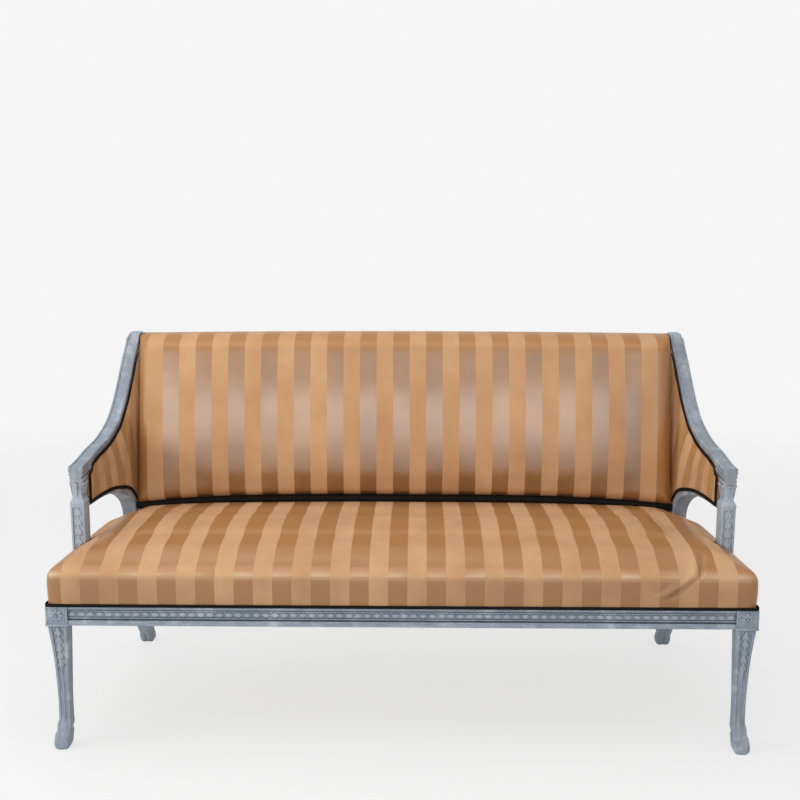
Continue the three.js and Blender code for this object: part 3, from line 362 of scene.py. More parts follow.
@dataclass(frozen=True)
class StripedSatin(Finish):
    """A silk stripe: matte ribbed bands of peach and glossy satin bands of gold.

    The satin's long floats shine along the warp, so its bands go from silver to brown with the
    light. Real threads are 0.3 mm apart; they are drawn 1.2 mm apart, which is as fine as shows.
    """

    matte: str = "cea276"
    matte_dark: str = "bb8b60"
    satin: str = "966423"
    satin_dark: str = "7a4c10"
    # Pale of rubbed wear, which also paints the highlight on the seat's edge roll
    rubbed: str = "d4be9a"
    satin_faded: str = "a46d2e"
    # Colour of the painted shade on the fall and of the old spill's stain
    shade_and_soil: str = "7c5f42"
    thread: float = 0.0012
    shift: float = 0.0060
    fading: float = 0.16
    cloud: float = 0.006

    def surface(self, nodes: Nodes) -> dict[str, object]:
        """Lays out the bands, their threads, and the fading of each."""
        weft, warp = nodes.own("weft"), nodes.own("warp")
        turns = nodes.sum("DIVIDE", nodes.sum("ADD", weft, self.shift), 2 * PLAN.stripe)
        band = nodes.ranged(nodes.sum("PINGPONG", turns, 0.5), 0.254, 0.246, curve="SMOOTHSTEP")
        fade = nodes.grain(nodes.place(), self.fading, 4, 0.6)
        ribs = nodes.add("CombineXYZ", None, {0: weft, 1: nodes.times(warp, 6.0)}).outputs[0]
        cloudy = nodes.grain(ribs, self.cloud, 3, 0.7)
        matte = nodes.mix(nodes.ranged(fade, 0.3, 0.7), self.matte, self.matte_dark)
        satin = nodes.mix(nodes.ranged(fade, 0.35, 0.7), self.satin, self.satin_dark)
        # Sitting and handling flatten the floats, which dulls the satin and fades it
        dull = nodes.own("dull")
        colour = nodes.mix(band, matte, nodes.mix(dull, satin, self.satin_faded))
        mottle = nodes.times(nodes.ranged(cloudy, 0.45, 0.75), 0.22)
        colour = nodes.mix(mottle, colour, self.matte_dark, "MULTIPLY")
        # Pale where sitting has rubbed the edge, most of all on the satin; the pale band along the
        # seat's edge roll is also a painted highlight
        rubbed = nodes.times(nodes.own("worn"), nodes.ranged(cloudy, 0.25, 0.55, 0.3, 1.0))
        rubbed = nodes.times(rubbed, nodes.ranged(band, 0, 1, 0.12, 0.85))
        colour = nodes.mix(rubbed, colour, self.rubbed)
        # Painted shade darkens the whole fall of the seat, and an old spill by the right arm stains
        # it
        shaded_and_soiled = nodes.times(nodes.own("shade_and_soil"), nodes.ranged(fade, 0.3, 0.6, 0.6, 1.0))
        colour = nodes.mix(shaded_and_soiled, colour, self.shade_and_soil)
        dull = nodes.sum("MAXIMUM", dull, rubbed)
        shine = nodes.times(band, nodes.ranged(dull, 0, 1, 1.0, 0.12))
        rough = {0: band, 2: 0.82, 3: nodes.ranged(dull, 0, 1, 0.40, 0.56)}
        cords = nodes.times(nodes.wave(warp, self.thread), nodes.ranged(band, 0, 1, 1.0, 0.0))
        floats = nodes.times(nodes.wave(weft, self.thread), nodes.ranged(band, 0, 1, 0.3, 0.35))
        return {
            "Base Color": colour,
            "Roughness": nodes.add("Mix", {"data_type": "FLOAT"}, rough).outputs[0],
            "Metallic": nodes.times(shine, 0.34),
            "Coat Weight": shine,
            "Coat Roughness": 0.31,
            "Coat IOR": 2.05,
            "Sheen Weight": 0.05,
            "Sheen Roughness": 0.5,
            "Normal": nodes.bump(nodes.sum("ADD", cords, floats), 0.25, 0.00025),
        }


@dataclass(frozen=True)
class BlackBraid(Finish):
    """Woven silk braid, black with a dull brown shine on its cords, with a twist of 3 mm."""

    body: str = "070605"
    worn: str = "1d1815"
    twist: float = 0.003

    def surface(self, nodes: Nodes) -> dict[str, object]:
        """Draws the slanting strands of the braid."""
        slant = nodes.sum("ADD", nodes.own("along"), nodes.sum("ABSOLUTE", nodes.own("around")))
        wave = nodes.wave(slant, self.twist)
        dust = nodes.ranged(nodes.grain(nodes.place(), 0.03, 4), 0.35, 0.7)
        strand = nodes.times(nodes.ranged(wave, 0.2, 1.0), dust)
        return {
            "Base Color": nodes.mix(strand, self.body, self.worn),
            "Roughness": 0.8,
            "Specular IOR Level": 0.2,
            "Normal": nodes.bump(wave, 0.6, 0.0006),
        }


@dataclass(frozen=True)
class WovenJute(Finish):
    """Plain woven jute: coarse brown threads, 2.5 mm apart, with slubs."""

    body: str = "a58760"
    dark: str = "6f5436"
    thread: float = 0.0025
    slub: float = 0.008

    def surface(self, nodes: Nodes) -> dict[str, object]:
        """Crosses two sets of threads."""
        place = nodes.place()
        axes = nodes.add("SeparateXYZ", None, {0: place}).outputs
        level = nodes.sum("ADD", axes[1], axes[2])
        weave = nodes.times(nodes.wave(axes[0], self.thread), nodes.wave(level, self.thread))
        slub = nodes.ranged(nodes.grain(place, self.slub, 4, 0.7), 0.3, 0.7, 0, 0.5)
        shade = nodes.sum("ADD", nodes.ranged(weave, -1, 1, 0, 0.5), slub)
        colour = nodes.mix(shade, self.dark, self.body)
        return {"Base Color": colour, "Roughness": 0.92, "Normal": nodes.bump(weave, 0.5, 0.0005)}


@dataclass(frozen=True)
class ForgedSteel(Finish):
    """Plain steel of an old wood screw: grey, filed, with brown rust in patches."""

    body: str = "7c7c7b"
    rust: str = "5c3d2a"
    spot: float = 0.004

    def surface(self, nodes: Nodes) -> dict[str, object]:
        """Spots the metal with rust."""
        spots = nodes.ranged(nodes.grain(nodes.place(), self.spot, 4), 0.5, 0.62)
        return {
            "Base Color": nodes.mix(spots, self.body, self.rust),
            "Metallic": nodes.ranged(spots, 0, 1, 0.95, 0.1),
            "Roughness": nodes.ranged(spots, 0, 1, 0.42, 0.85),
        }


PAINT = DistemperedBeech("distempered_beech", "painted_wood")
RAIL_PAINT = DistemperedBeech("distempered_beech_rail", "painted_wood", stroke=(0.10, 1.0, 1.0))
# Lighter paint for the arm posts: rubbed paint, and also painted light for the light that falls on
# them
RUBBED_AND_LIT_PAINT = DistemperedBeech("distempered_beech_rubbed", "painted_wood", body="a0aab5")
BARE = SawnBeech("sawn_beech", "bare_wood")
SATIN = StripedSatin("woven_silk_satin", "striped_satin")
# Lighter, faded cloth for the arm panels, which also paints in light that falls on them
ARM_SATIN = StripedSatin(
    "woven_silk_satin_faded_and_lit", "striped_satin", matte="d4ab80", satin_faded="bb8f5c"
)
BRAID = BlackBraid("woven_silk_braid", "black_braid")
JUTE = WovenJute("woven_jute", "jute")
STEEL = ForgedSteel("forged_steel", "steel")


# Making meshes


@dataclass(frozen=True)
class Station:
    """A place on a swept line, with the two directions that its outline lies in."""

    centre: Vector
    across: Vector
    up: Vector
    round: float = 0.0

    def point(self, a: float, b: float) -> Vector:
        """The place of an outline's corner, drawn towards a circle by the roundness."""
        reach = max(math.hypot(a, b), 1e-9)
        share = 1 + (0.5 / reach - 1) * self.round
        return self.centre + self.across * (a * share) + self.up * (b * share)


def mirrored(half: Pairs) -> Pairs:
    """A row of points and its mirror image, which leads back."""
    return [*half, *[(-a, b) for a, b in half[::-1]]]


def rounded_outline(corner: float, steps: int = 3, front: Sequence = ()) -> Pairs:
    """A square of side 1 round the middle, with rounded corners.

    Args:
        corner: The corner radius as a share of the side.
        steps: How many edges each corner has.
        front: Further points between the two front corners.

    Returns:
        The points in order, counterclockwise.
    """
    reach = 0.5 - corner
    points = []
    for quarter, (x, y) in enumerate([(1, 1), (-1, 1), (-1, -1), (1, -1)]):
        for step in range(steps + 1):
            angle = math.pi / 2 * (quarter + step / steps)
            aside, ahead = corner * math.cos(angle), corner * math.sin(angle)
            points.append((x * reach + aside, y * reach + ahead))
        if quarter == 2:
            points += front
    return points


def sweep(bm: Mesh, outline: Pairs, stations: Sequence[Station]) -> None:
    """Draws a closed outline along a line of stations, by extruding its end face.

    The points remember how far along and around they are, for finishes that follow the piece.

    Args:
        bm: The mesh that the body goes into.
        outline: The corners, in units of each station's two directions.
        stations: The places that it passes.
    """
    layers = bm.verts.layers
    local = layers.float_vector.get("outline") or layers.float_vector.new("outline")
    along = layers.float.get("along") or layers.float.new("along")
    around = layers.float.get("around") or layers.float.new("around")
    first = stations[0]
    verts = []
    for a, b in outline:
        vert = bm.verts.new(first.point(a, b))
        vert[local] = (a, b, 0)
        vert[around] = (first.across * a).length * (1 if a > 0 else -1)
        verts.append(vert)
    face = bm.faces.new(verts)
    travelled = 0.0
    for before, station in zip(stations, stations[1:]):
        travelled += (station.centre - before.centre).length
        grown = bmesh.ops.extrude_face_region(bm, geom=[face])["geom"]
        face = next(item for item in grown if isinstance(item, bmesh.types.BMFace))
        for vert in face.verts:
            a, b, _ = vert[local]
            vert.co = station.point(a, b)
            vert[along] = travelled
    bmesh.ops.recalc_face_normals(bm, faces=connected([face]))


def connected(seeds: Iterable[bmesh.types.BMFace]) -> list[bmesh.types.BMFace]:
    """All faces that hang together with some first ones."""
    found = set(seeds)
    waiting = list(found)
    while waiting:
        for edge in waiting.pop().edges:
            fresh = [face for face in edge.link_faces if face not in found]
            found.update(fresh)
            waiting += fresh
    return list(found)


def bent(p1: Vector, p2: Vector, m1: Vector, m2: Vector, t: float) -> Vector:
    """A point between two others, on the curve that leaves them in two directions."""
    a, b, c = 2 * t**3 - 3 * t**2 + 1, t**3 - 2 * t**2 + t, -2 * t**3 + 3 * t**2
    return p1 * a + m1 * b + p2 * c + m2 * (t**3 - t**2)


def around(values: Sequence[Vector], n: int) -> tuple[Vector, Vector, Vector, Vector]:
    """A value, the next one, and the neighbours before and behind them."""
    last = len(values) - 1
    return values[max(n - 1, 0)], values[n], values[n + 1], values[min(n + 2, last)]


def smooth_line(points: Sequence[Vector], count: int) -> list[Vector]:
    """Evenly spaced points on a smooth line through some given ones.

    Args:
        points: The points that the line passes.
        count: How many steps the line is cut into.

    Returns:
        One point more than the steps.
    """
    fine = []
    last = len(points) - 1
    for n in range(last):
        p0, p1, p2, p3 = around(points, n)
        d0, d1, d2 = (max(d.length, 1e-6) ** 0.5 for d in (p1 - p0, p2 - p1, p3 - p2))
        m1 = m2 = p2 - p1
        if n > 0:
            m1 = ((p1 - p0) / d0 - (p2 - p0) / (d0 + d1) + (p2 - p1) / d1) * d1
        if n + 1 < last:
            m2 = ((p2 - p1) / d1 - (p3 - p1) / (d1 + d2) + (p3 - p2) / d2) * d1
        fine += [bent(p1, p2, m1, m2, step / 12) for step in range(12)]
    fine.append(points[-1].copy())
    return resampled(fine, count)


def resampled(points: Sequence[Vector], count: int) -> list[Vector]:
    """Points at even steps along a chain of straight lines, one more than the steps."""
    reach = [0.0]
    for before, after in zip(points, points[1:]):
        reach.append(reach[-1] + (after - before).length)
    result = []
    n = 0
    for step in range(count + 1):
        goal = reach[-1] * step / count
        while n < len(points) - 2 and reach[n + 1] < goal:
            n += 1
        span = max(reach[n + 1] - reach[n], 1e-9)
        result.append(points[n].lerp(points[n + 1], clamp((goal - reach[n]) / span)))
    return result


def tangent(points: Sequence[Vector], index: int) -> Vector:
    """The direction of a chain of points at one of them."""
    before, after = points[max(index - 1, 0)], points[min(index + 1, len(points) - 1)]
    return (after - before).normalized()


def bevelled(bm: Mesh, edges: list[bmesh.types.BMEdge], width: float, limit: bool = False) -> None:
    """Takes some edges off."""
    bmesh.ops.bevel(bm, geom=edges, offset=width, affect="EDGES", segments=2, profile=0.5,
                    material=-1, clamp_overlap=limit)


def box_in(bm: Mesh, low: Sequence[float], high: Sequence[float], edge: float) -> list:
    """Adds a box from its lowest to its highest corner, and hands out its faces."""
    middle = (Vector(low) + Vector(high)) / 2
    size = Vector(high) - Vector(low)
    place = Matrix.Translation(middle) @ Matrix.Diagonal((*size, 1.0))
    known = set(bm.faces)
    verts = bmesh.ops.create_cube(bm, size=1.0, matrix=place)["verts"]
    bevelled(bm, list({e for v in verts for e in v.link_edges}), edge)
    bm.normal_update()
    return [face for face in bm.faces if face not in known]


def sunk(bm: Mesh, faces: list[bmesh.types.BMFace], border: float, slope: float,
         depth: float) -> None:
    """Sinks a panel into each of some faces, inside a border and a slope."""
    for face in faces:
        bmesh.ops.inset_region(bm, faces=[face], thickness=border, depth=0.0)
        bmesh.ops.inset_region(bm, faces=[face], thickness=slope, depth=-depth)


def drop_in(bm: Mesh, centre: Sequence[float], size: Sequence[float], turn: Matrix | None = None,
            segments: tuple[int, int] = (8, 6)) -> None:
    """Adds a carved drop, a ball drawn out to a size.

    Args:
        bm: The mesh that it goes into.
        centre: Its middle.
        size: Its whole width, depth and height.
        turn: How it is turned about its middle.
        segments: Faces round it, and from pole to pole.
    """
    place = Matrix.Translation(centre) @ (turn or Matrix.Identity(4))
    place = place @ Matrix.Diagonal((size[0] / 2, size[1] / 2, size[2] / 2, 1.0))
    bmesh.ops.create_uvsphere(
        bm, u_segments=segments[0], v_segments=segments[1], radius=1.0, matrix=place
    )


def husk_in(bm: Mesh, top: Vector, length: float, width: float) -> None:
    """Carves one bellflower on a front face: three petals that hang from a bead."""
    for lean, share in ((-0.42, 0.80), (0.42, 0.80), (0.0, 1.0)):
        tilt = Matrix.Rotation(lean, 4, "Y")
        hang = tilt @ Vector((0, 0, -length * share / 2))
        drop_in(bm, top + hang, (width * 0.42, 0.0042, length * share), tilt)
    drop_in(bm, top, (width * 0.45, 0.005, width * 0.4), None, (8, 5))


def grid(columns: int, rows: int, at: Callable[[float, float], Sequence[float]]) -> Mesh:
    """A sheet whose points come from their place across and along, each from -1 to 1."""
    bm = bmesh.new()
    bmesh.ops.create_grid(bm, x_segments=columns, y_segments=rows, size=1.0)
    for vert in bm.verts:
        vert.co = at(vert.co.x, vert.co.y)
    return bm


def thickened(bm: Mesh, out: Sequence[float], thickness: float) -> float:
    """Turns a sheet's faces one way and gives it a thickness.

    Args:
        bm: The sheet.
        out: The way that its faces look.
        thickness: How thick it gets.

    Returns:
        The area that it had, in square metres.
    """
    area = sum(face.calc_area() for face in bm.faces)
    bm.normal_update()
    if sum(face.normal.dot(Vector(out)) for face in bm.faces) < 0:
        bmesh.ops.reverse_faces(bm, faces=bm.faces[:])
    bmesh.ops.solidify(bm, geom=bm.faces[:], thickness=thickness)
    bmesh.ops.recalc_face_normals(bm, faces=bm.faces[:])
    return area


def made_piece(name: str, bm: Mesh, finish: Finish, replaces: Sequence[str],
               sharp: float = 42.0) -> Piece:
    """Turns a mesh into a finished piece that rides on the settee.

    Args:
        name: The piece's name.
        bm: Its mesh, which is used up.
        finish: Its material.
        replaces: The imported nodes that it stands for.
        sharp: The angle in degrees from which an edge is kept crisp.

    Returns:
        The piece.
    """
    mesh = bpy.data.meshes.new(name)
    bm.normal_update()
    bm.to_mesh(mesh)
    bm.free()
    mesh.shade_smooth()
    mesh.set_sharp_from_angle(angle=math.radians(sharp))
    piece = bpy.data.objects.new(name, mesh)
    bpy.context.scene.collection.objects.link(piece)
    mesh.materials.append(finish.material())
    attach(piece, BODY)
    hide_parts(*replaces)
    LOG.info("%s: %d faces", name, len(mesh.polygons))
    return piece


def softened(node: str, finish: Finish, edge: float = 0.0012) -> Piece:
    """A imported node's own shape with its arrises taken off by a width."""
    bm = bmesh.new()
    bm.from_mesh(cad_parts[node].data)
    bmesh.ops.remove_doubles(bm, verts=bm.verts[:], dist=1e-5)
    bmesh.ops.dissolve_limit(bm, angle_limit=math.radians(2), verts=bm.verts[:], edges=bm.edges[:])
    sharp = [e for e in bm.edges if len(e.link_faces) == 2 and e.calc_face_angle(0) > 0.5]
    bevelled(bm, sharp, edge, limit=True)
    return made_piece(f"{node}_eased", bm, finish, [node], 30)


# The carved frame


@dataclass
class FrontLeg:
    """A front leg: a corner block with a rosette, a tapered shaft and a hoof."""

    side: Side
    shaft_top: float = 0.044
    set_in: float = 0.003
    hoof_width: float = 0.044
    hoof_depth: float = 0.047
    hoof_height: float = 0.058
    ankle_width: float = 0.027
    ankle_depth: float = 0.028
    ankle_height: float = 0.109
    ledge: float = 0.0008
    rosette_radius: float = 0.0165
    petals: int = 8
    husks: int = 5
    husk_length: float = 0.021

    @property
    def middle(self) -> float:
        """The x coordinate of the middle of the corner block."""
        return self.side.value * (PLAN.half_front - PLAN.block / 2)

    def stations(self) -> list[Station]:
        """The rings of the leg from the floor to the block."""
        # Height, width, depth, how far the front stands back, and the lean outwards
        hoof = [
            (0.0, 0.70, 0.74, 0.10, 0.12), (0.04, 0.86, 0.88, 0.04, 0.12),
            (0.12, 0.99, 0.98, 0.0, 0.12), (0.34, 1.05, 1.0, 0.0, 0.10),
            (0.62, 0.97, 0.92, 0.04, 0.04), (0.80, 0.87, 0.82, 0.11, 0.00),
            (0.92, 0.88, 0.82, 0.12, -0.03), (1.06, 0.85, 0.80, 0.13, -0.05),
            (1.3, 0.68, 0.66, 0.2, -0.09),
        ]
        shaft = [(0.0, 1.0, 1.0, -0.1), (0.3, 1.09, 1.14, -0.1), (0.62, 1.27, 1.33, -0.08)]
        middle = self.set_in + self.shaft_top / 2
        rows = []
        for up, wide, deep, front, lean in hoof:
            behind = self.hoof_depth * (front + deep / 2)
            size = self.hoof_width * wide, self.hoof_depth * deep
            rows.append((self.hoof_height * up, behind, lean, *size))
        for up, wide, deep, lean in shaft:
            z = mix(self.ankle_height, PLAN.rail_bottom, up)
            rows.append((z, middle, lean, self.ankle_width * wide, self.ankle_depth * deep))
        rows.append((PLAN.rail_bottom - 0.003, middle, 0.0, self.shaft_top, self.shaft_top))
        centres = [
            Vector((self.middle + self.side.value * lean * self.shaft_top, PLAN.y(behind), z))
            for z, behind, lean, _, _ in rows
        ]
        sizes = [Vector((width, depth, z)) for z, _, _, width, depth in rows]
        steps = [(n, step / 4) for n in range(len(rows) - 1) for step in range(4)]
        rings = [(self.eased(centres, n, t), self.eased(sizes, n, t)) for n, t in steps]
        return [self.ring(*pair) for pair in [*rings, (centres[-1], sizes[-1])]]

    @staticmethod
    def outline() -> Pairs:
        """The section: rounded arrises, and a ribbed channel down the front."""
        half = [(-0.32, -0.5), (-0.27, -0.435), (-0.09, -0.435), (-0.04, -0.49)]
        return rounded_outline(0.10, 4, mirrored(half))

    @staticmethod
    def eased(values: Sequence[Vector], n: int, t: float) -> Vector:
        """A value between two rows, on a soft curve through their neighbours."""
        p0, p1, p2, p3 = around(values, n)
        rise = p2.z - p1.z
        m1 = (p2 - p0) * (rise / max(p2.z - p0.z, 1e-6))
        m2 = (p3 - p1) * (rise / max(p3.z - p1.z, 1e-6))
        return bent(p1, p2, m1, m2, t)

    @staticmethod
    def ring(centre: Vector, size: Vector) -> Station:
        """A level station of a width and a depth, rounder in the hoof."""
        rounded = 0.95 * smooth(0.100, 0.040, centre.z)
        return Station(centre, Vector((size.x, 0, 0)), Vector((0, size.y, 0)), rounded)

    def carve_hoof(self, bm: Mesh) -> None:
        """Cuts the cleft into the front of the hoof and the ridge above it."""
        for vert in [v for v in bm.verts if v.co.z <= 0.075]:
            off = abs(vert.co.x - self.middle - self.side.value * 0.1 * self.shaft_top)
            front = smooth(0.026, 0.008, vert.co.y - FRONT_Y)
            height = smooth(0.052, 0.030, vert.co.z)
            vert.co.y += 0.0020 * front * height * smooth(0.0065, 0.0, off)
            outward = Vector((vert.co.x - self.middle, vert.co.y - PLAN.y(0.026), 0))
            if outward.length > 0:
                vert.co += outward.normalized() * 0.0012 * bell(vert.co.z - 0.036, 0.004)

    def block(self, bm: Mesh) -> None:
        """Makes the corner block with its sunk panels, its ledge and its rosettes."""
        x, half, out = self.middle, PLAN.block / 2, self.ledge
        low = (x - half, FRONT_Y, PLAN.rail_bottom)
        faces = box_in(bm, low, (x + half, PLAN.y(PLAN.block), PLAN.rail_top), 0.0010)
        broad = [f for f in faces if f.calc_area() > 0.001]
        front = [f for f in broad if f.normal.y < -0.9]
        outer = [f for f in broad if f.normal.x * self.side.value > 0.9]
        sunk(bm, front + outer, 0.0035, 0.0012, 0.0016)
        low = (x - half - out, FRONT_Y - out, PLAN.rail_bottom - 0.0015)
        high = (x + half + out, PLAN.y(PLAN.block), PLAN.rail_bottom + 0.0035)
        box_in(bm, low, high, 0.0012)
        z = PLAN.rail_top - PLAN.rail_height / 2 + 0.001
        self.rosette(bm, Vector((x, FRONT_Y + 0.0012, z)), 0.0)
        beside = Vector((x + self.side.value * (half - 0.0012), PLAN.y(half), z))
        self.rosette(bm, beside, self.side.value * math.pi / 2)

    def rosette(self, bm: Mesh, centre: Vector, turn: float) -> None:
        """Carves a round flower on a face, which is turned about the upright axis."""
        facing = Matrix.Rotation(turn, 4, "Z")
        radius = self.rosette_radius
        for n in range(self.petals):
            spin = facing @ Matrix.Rotation(2 * math.pi * n / self.petals, 4, "Y")
            reach = spin @ Vector((0, 0, radius * 0.60))
            drop_in(bm, centre + reach, (radius * 0.52, 0.0042, radius * 0.78), spin)
        heart = radius * 0.46
        before = centre + facing @ Vector((0, -0.0008, 0))
        drop_in(bm, before, (heart, 0.0055, heart), facing, (10, 6))

    def husk_chain(self, bm: Mesh) -> None:
        """Hangs bellflowers down the front of the shaft."""
        for n in range(self.husks):
            z = PLAN.rail_bottom - 0.010 - n * self.husk_length * 0.92
            share = (z - self.ankle_height) / (PLAN.rail_bottom - self.ankle_height)
            depth = mix(self.ankle_depth, self.shaft_top, share**1.3)
            y = PLAN.y(self.set_in + self.shaft_top / 2 - depth / 2) + 0.0016
            x = self.middle - self.side.value * 0.09 * self.shaft_top * (1 - share) ** 0.6
            husk_in(bm, Vector((x, y, z)), self.husk_length, mix(0.012, 0.020, share))

    def build(self) -> Piece:
        """Makes the leg in its place."""
        bm = bmesh.new()
        sweep(bm, self.outline(), self.stations())
        self.carve_hoof(bm)
        self.block(bm)
        self.husk_chain(bm)
        word = self.side.word
        nodes = [f"front_leg_{word}", f"corner_rosette_{word}"]
        return made_piece(f"carved_front_leg_{word}", bm, PAINT, nodes)


@dataclass
class RearLeg:
    """A rear leg: a sabre foot that sweeps back, and the raked stile above the seat."""

    side: Side
    foot_width: float = 0.042
    foot_depth: float = 0.046
    frame_depth: float = 0.706
    curve: float = 1.45
    waist: float = 0.12
    steps: int = 16

    def stations(self) -> list[Station]:
        """The level rings from the floor to the top of the back."""
        result = []
        hoof = [
            (0.0, 0.84), (0.003, 0.95), (0.009, 1.02), (0.018, 1.05), (0.028, 1.02), (0.036, 0.95),
        ]
        seat_middle = PLAN.stile_front + PLAN.stile_depth_seat / 2
        seat_x = PLAN.rear_half - PLAN.stile_width / 2
        grown = {z / PLAN.rail_bottom: size for z, size in hoof}
        for up in sorted([*grown, *[n / self.steps for n in range(2, self.steps)]]):
            waist = (1 - self.waist * math.sin(math.pi * up)) * grown.get(up, 1.0)
            foot_middle = self.frame_depth - self.foot_depth / 2
            behind = mix(seat_middle, foot_middle, (1 - up) ** self.curve)
            x = mix(PLAN.rear_half - self.foot_width / 2, seat_x, up)
            width = mix(self.foot_width, PLAN.stile_width, up) * waist
            depth = mix(self.foot_depth, PLAN.stile_depth_seat, up) * waist
            z = up * PLAN.rail_bottom
            result.append(self.ring(x, behind, z, width, depth, 0.6 * smooth(0.060, 0.030, z)))
        size = PLAN.stile_width, PLAN.stile_depth_seat
        for z in (PLAN.rail_bottom, PLAN.rail_top):
            result.append(self.ring(seat_x, seat_middle, z, *size))
        behind = PLAN.back_front(PLAN.stile_top) - FRONT_Y + PLAN.stile_depth_top / 2
        x = PLAN.rear_top_half - PLAN.stile_top_width / 2
        for below, trim in ((0.003, 0.0), (0.001, 0.003), (0.0, 0.007)):
            width, depth = PLAN.stile_top_width - trim, PLAN.stile_depth_top - trim
            result.append(self.ring(x, behind, PLAN.stile_top - below, width, depth))
        return result

    def ring(self, x: float, behind: float, z: float, width: float, depth: float,
             rounded: float = 0.0) -> Station:
        """A level station of the leg."""
        centre = Vector((self.side.value * x, PLAN.y(behind), z))
        return Station(centre, Vector((width, 0, 0)), Vector((0, depth, 0)), rounded)

    def cleft(self, bm: Mesh) -> None:
        """Cuts the cleft into the front of the foot."""
        middle = self.side.value * (PLAN.rear_half - self.foot_width / 2)
        front = PLAN.y(self.frame_depth - self.foot_depth)
        for vert in bm.verts:
            near = smooth(0.020, 0.006, vert.co.y - front) * smooth(0.036, 0.026, vert.co.z)
            vert.co.y += 0.005 * near * smooth(0.006, 0.0, abs(vert.co.x - middle))

    def build(self) -> Piece:
        """Makes the leg in its place."""
        bm = bmesh.new()
        between = mirrored([(-0.3, -0.5), (-0.12, -0.5), (-0.04, -0.5)])
        sweep(bm, rounded_outline(0.09, 3, between), self.stations())
        self.cleft(bm)
        word = self.side.word
        return made_piece(f"shaped_rear_leg_{word}", bm, PAINT, [f"rear_leg_{word}"])


@dataclass
class FrontRail:
    """The front rail: a flat band, a carved leaf band, a quirk and a lower band."""

    thickness: float = 0.028
    set_back: float = 0.002
    leaf_pitch: float = 0.0209
    leaf_height: float = 0.0125
    leaf_depth: float = 0.0074
    leaf_middle: float = 0.0185

    @property
    def half(self) -> float:
        """Half the rail's length between the corner blocks."""
        return PLAN.half_front - PLAN.block - CLEARANCE

    def outline(self) -> Pairs:
        """The rail's section: depth behind the front, and drop below its top."""
        face = [
            (0.0015, PLAN.rail_height), (0.0, PLAN.rail_height - 0.0015), (0.0, 0.0345),
            (0.0012, 0.0326), (0.0062, 0.0318), (0.0062, 0.0284), (0.0014, 0.0278),
            (0.0010, 0.0258), (0.0040, 0.0250), (0.0044, 0.0122), (0.0014, 0.0114),
            (0.0012, 0.0094), (0.0030, 0.0088), (0.0030, 0.0068), (0.0002, 0.0060),
            (0.0, 0.0012), (0.0012, 0.0),
        ]
        rear = [(self.thickness, 0.0), (self.thickness, PLAN.rail_height)]
        return rear + [(self.set_back + depth, drop) for depth, drop in face]

    def leaves(self, bm: Mesh) -> None:
        """Carves the band: a run of round leaves, each with a bead on it."""
        count = round(2 * self.half / self.leaf_pitch)
        pitch = 2 * self.half / count
        y, z = PLAN.y(self.set_back + 0.0042), PLAN.rail_top - self.leaf_middle
        tall = self.leaf_height
        for n in range(count):
            x = -self.half + pitch * (n + 0.5)
            drop_in(bm, (x, y, z), (pitch * 0.97, self.leaf_depth, tall), None, (12, 6))
            drop_in(bm, (x, y - 0.0022, z), (pitch * 0.42, 0.0044, tall * 0.62))

    def build(self) -> Piece:
        """Makes the rail in its place."""
        bm = bmesh.new()
        ends = [Vector((x, FRONT_Y, PLAN.rail_top)) for x in (-self.half, self.half)]
        sweep(bm, self.outline(), [Station(end, Vector((0, 1, 0)), -UP) for end in ends])
        self.leaves(bm)
        return made_piece("carved_front_rail", bm, RAIL_PAINT, ["front_rail", "rail_beading"], 30)


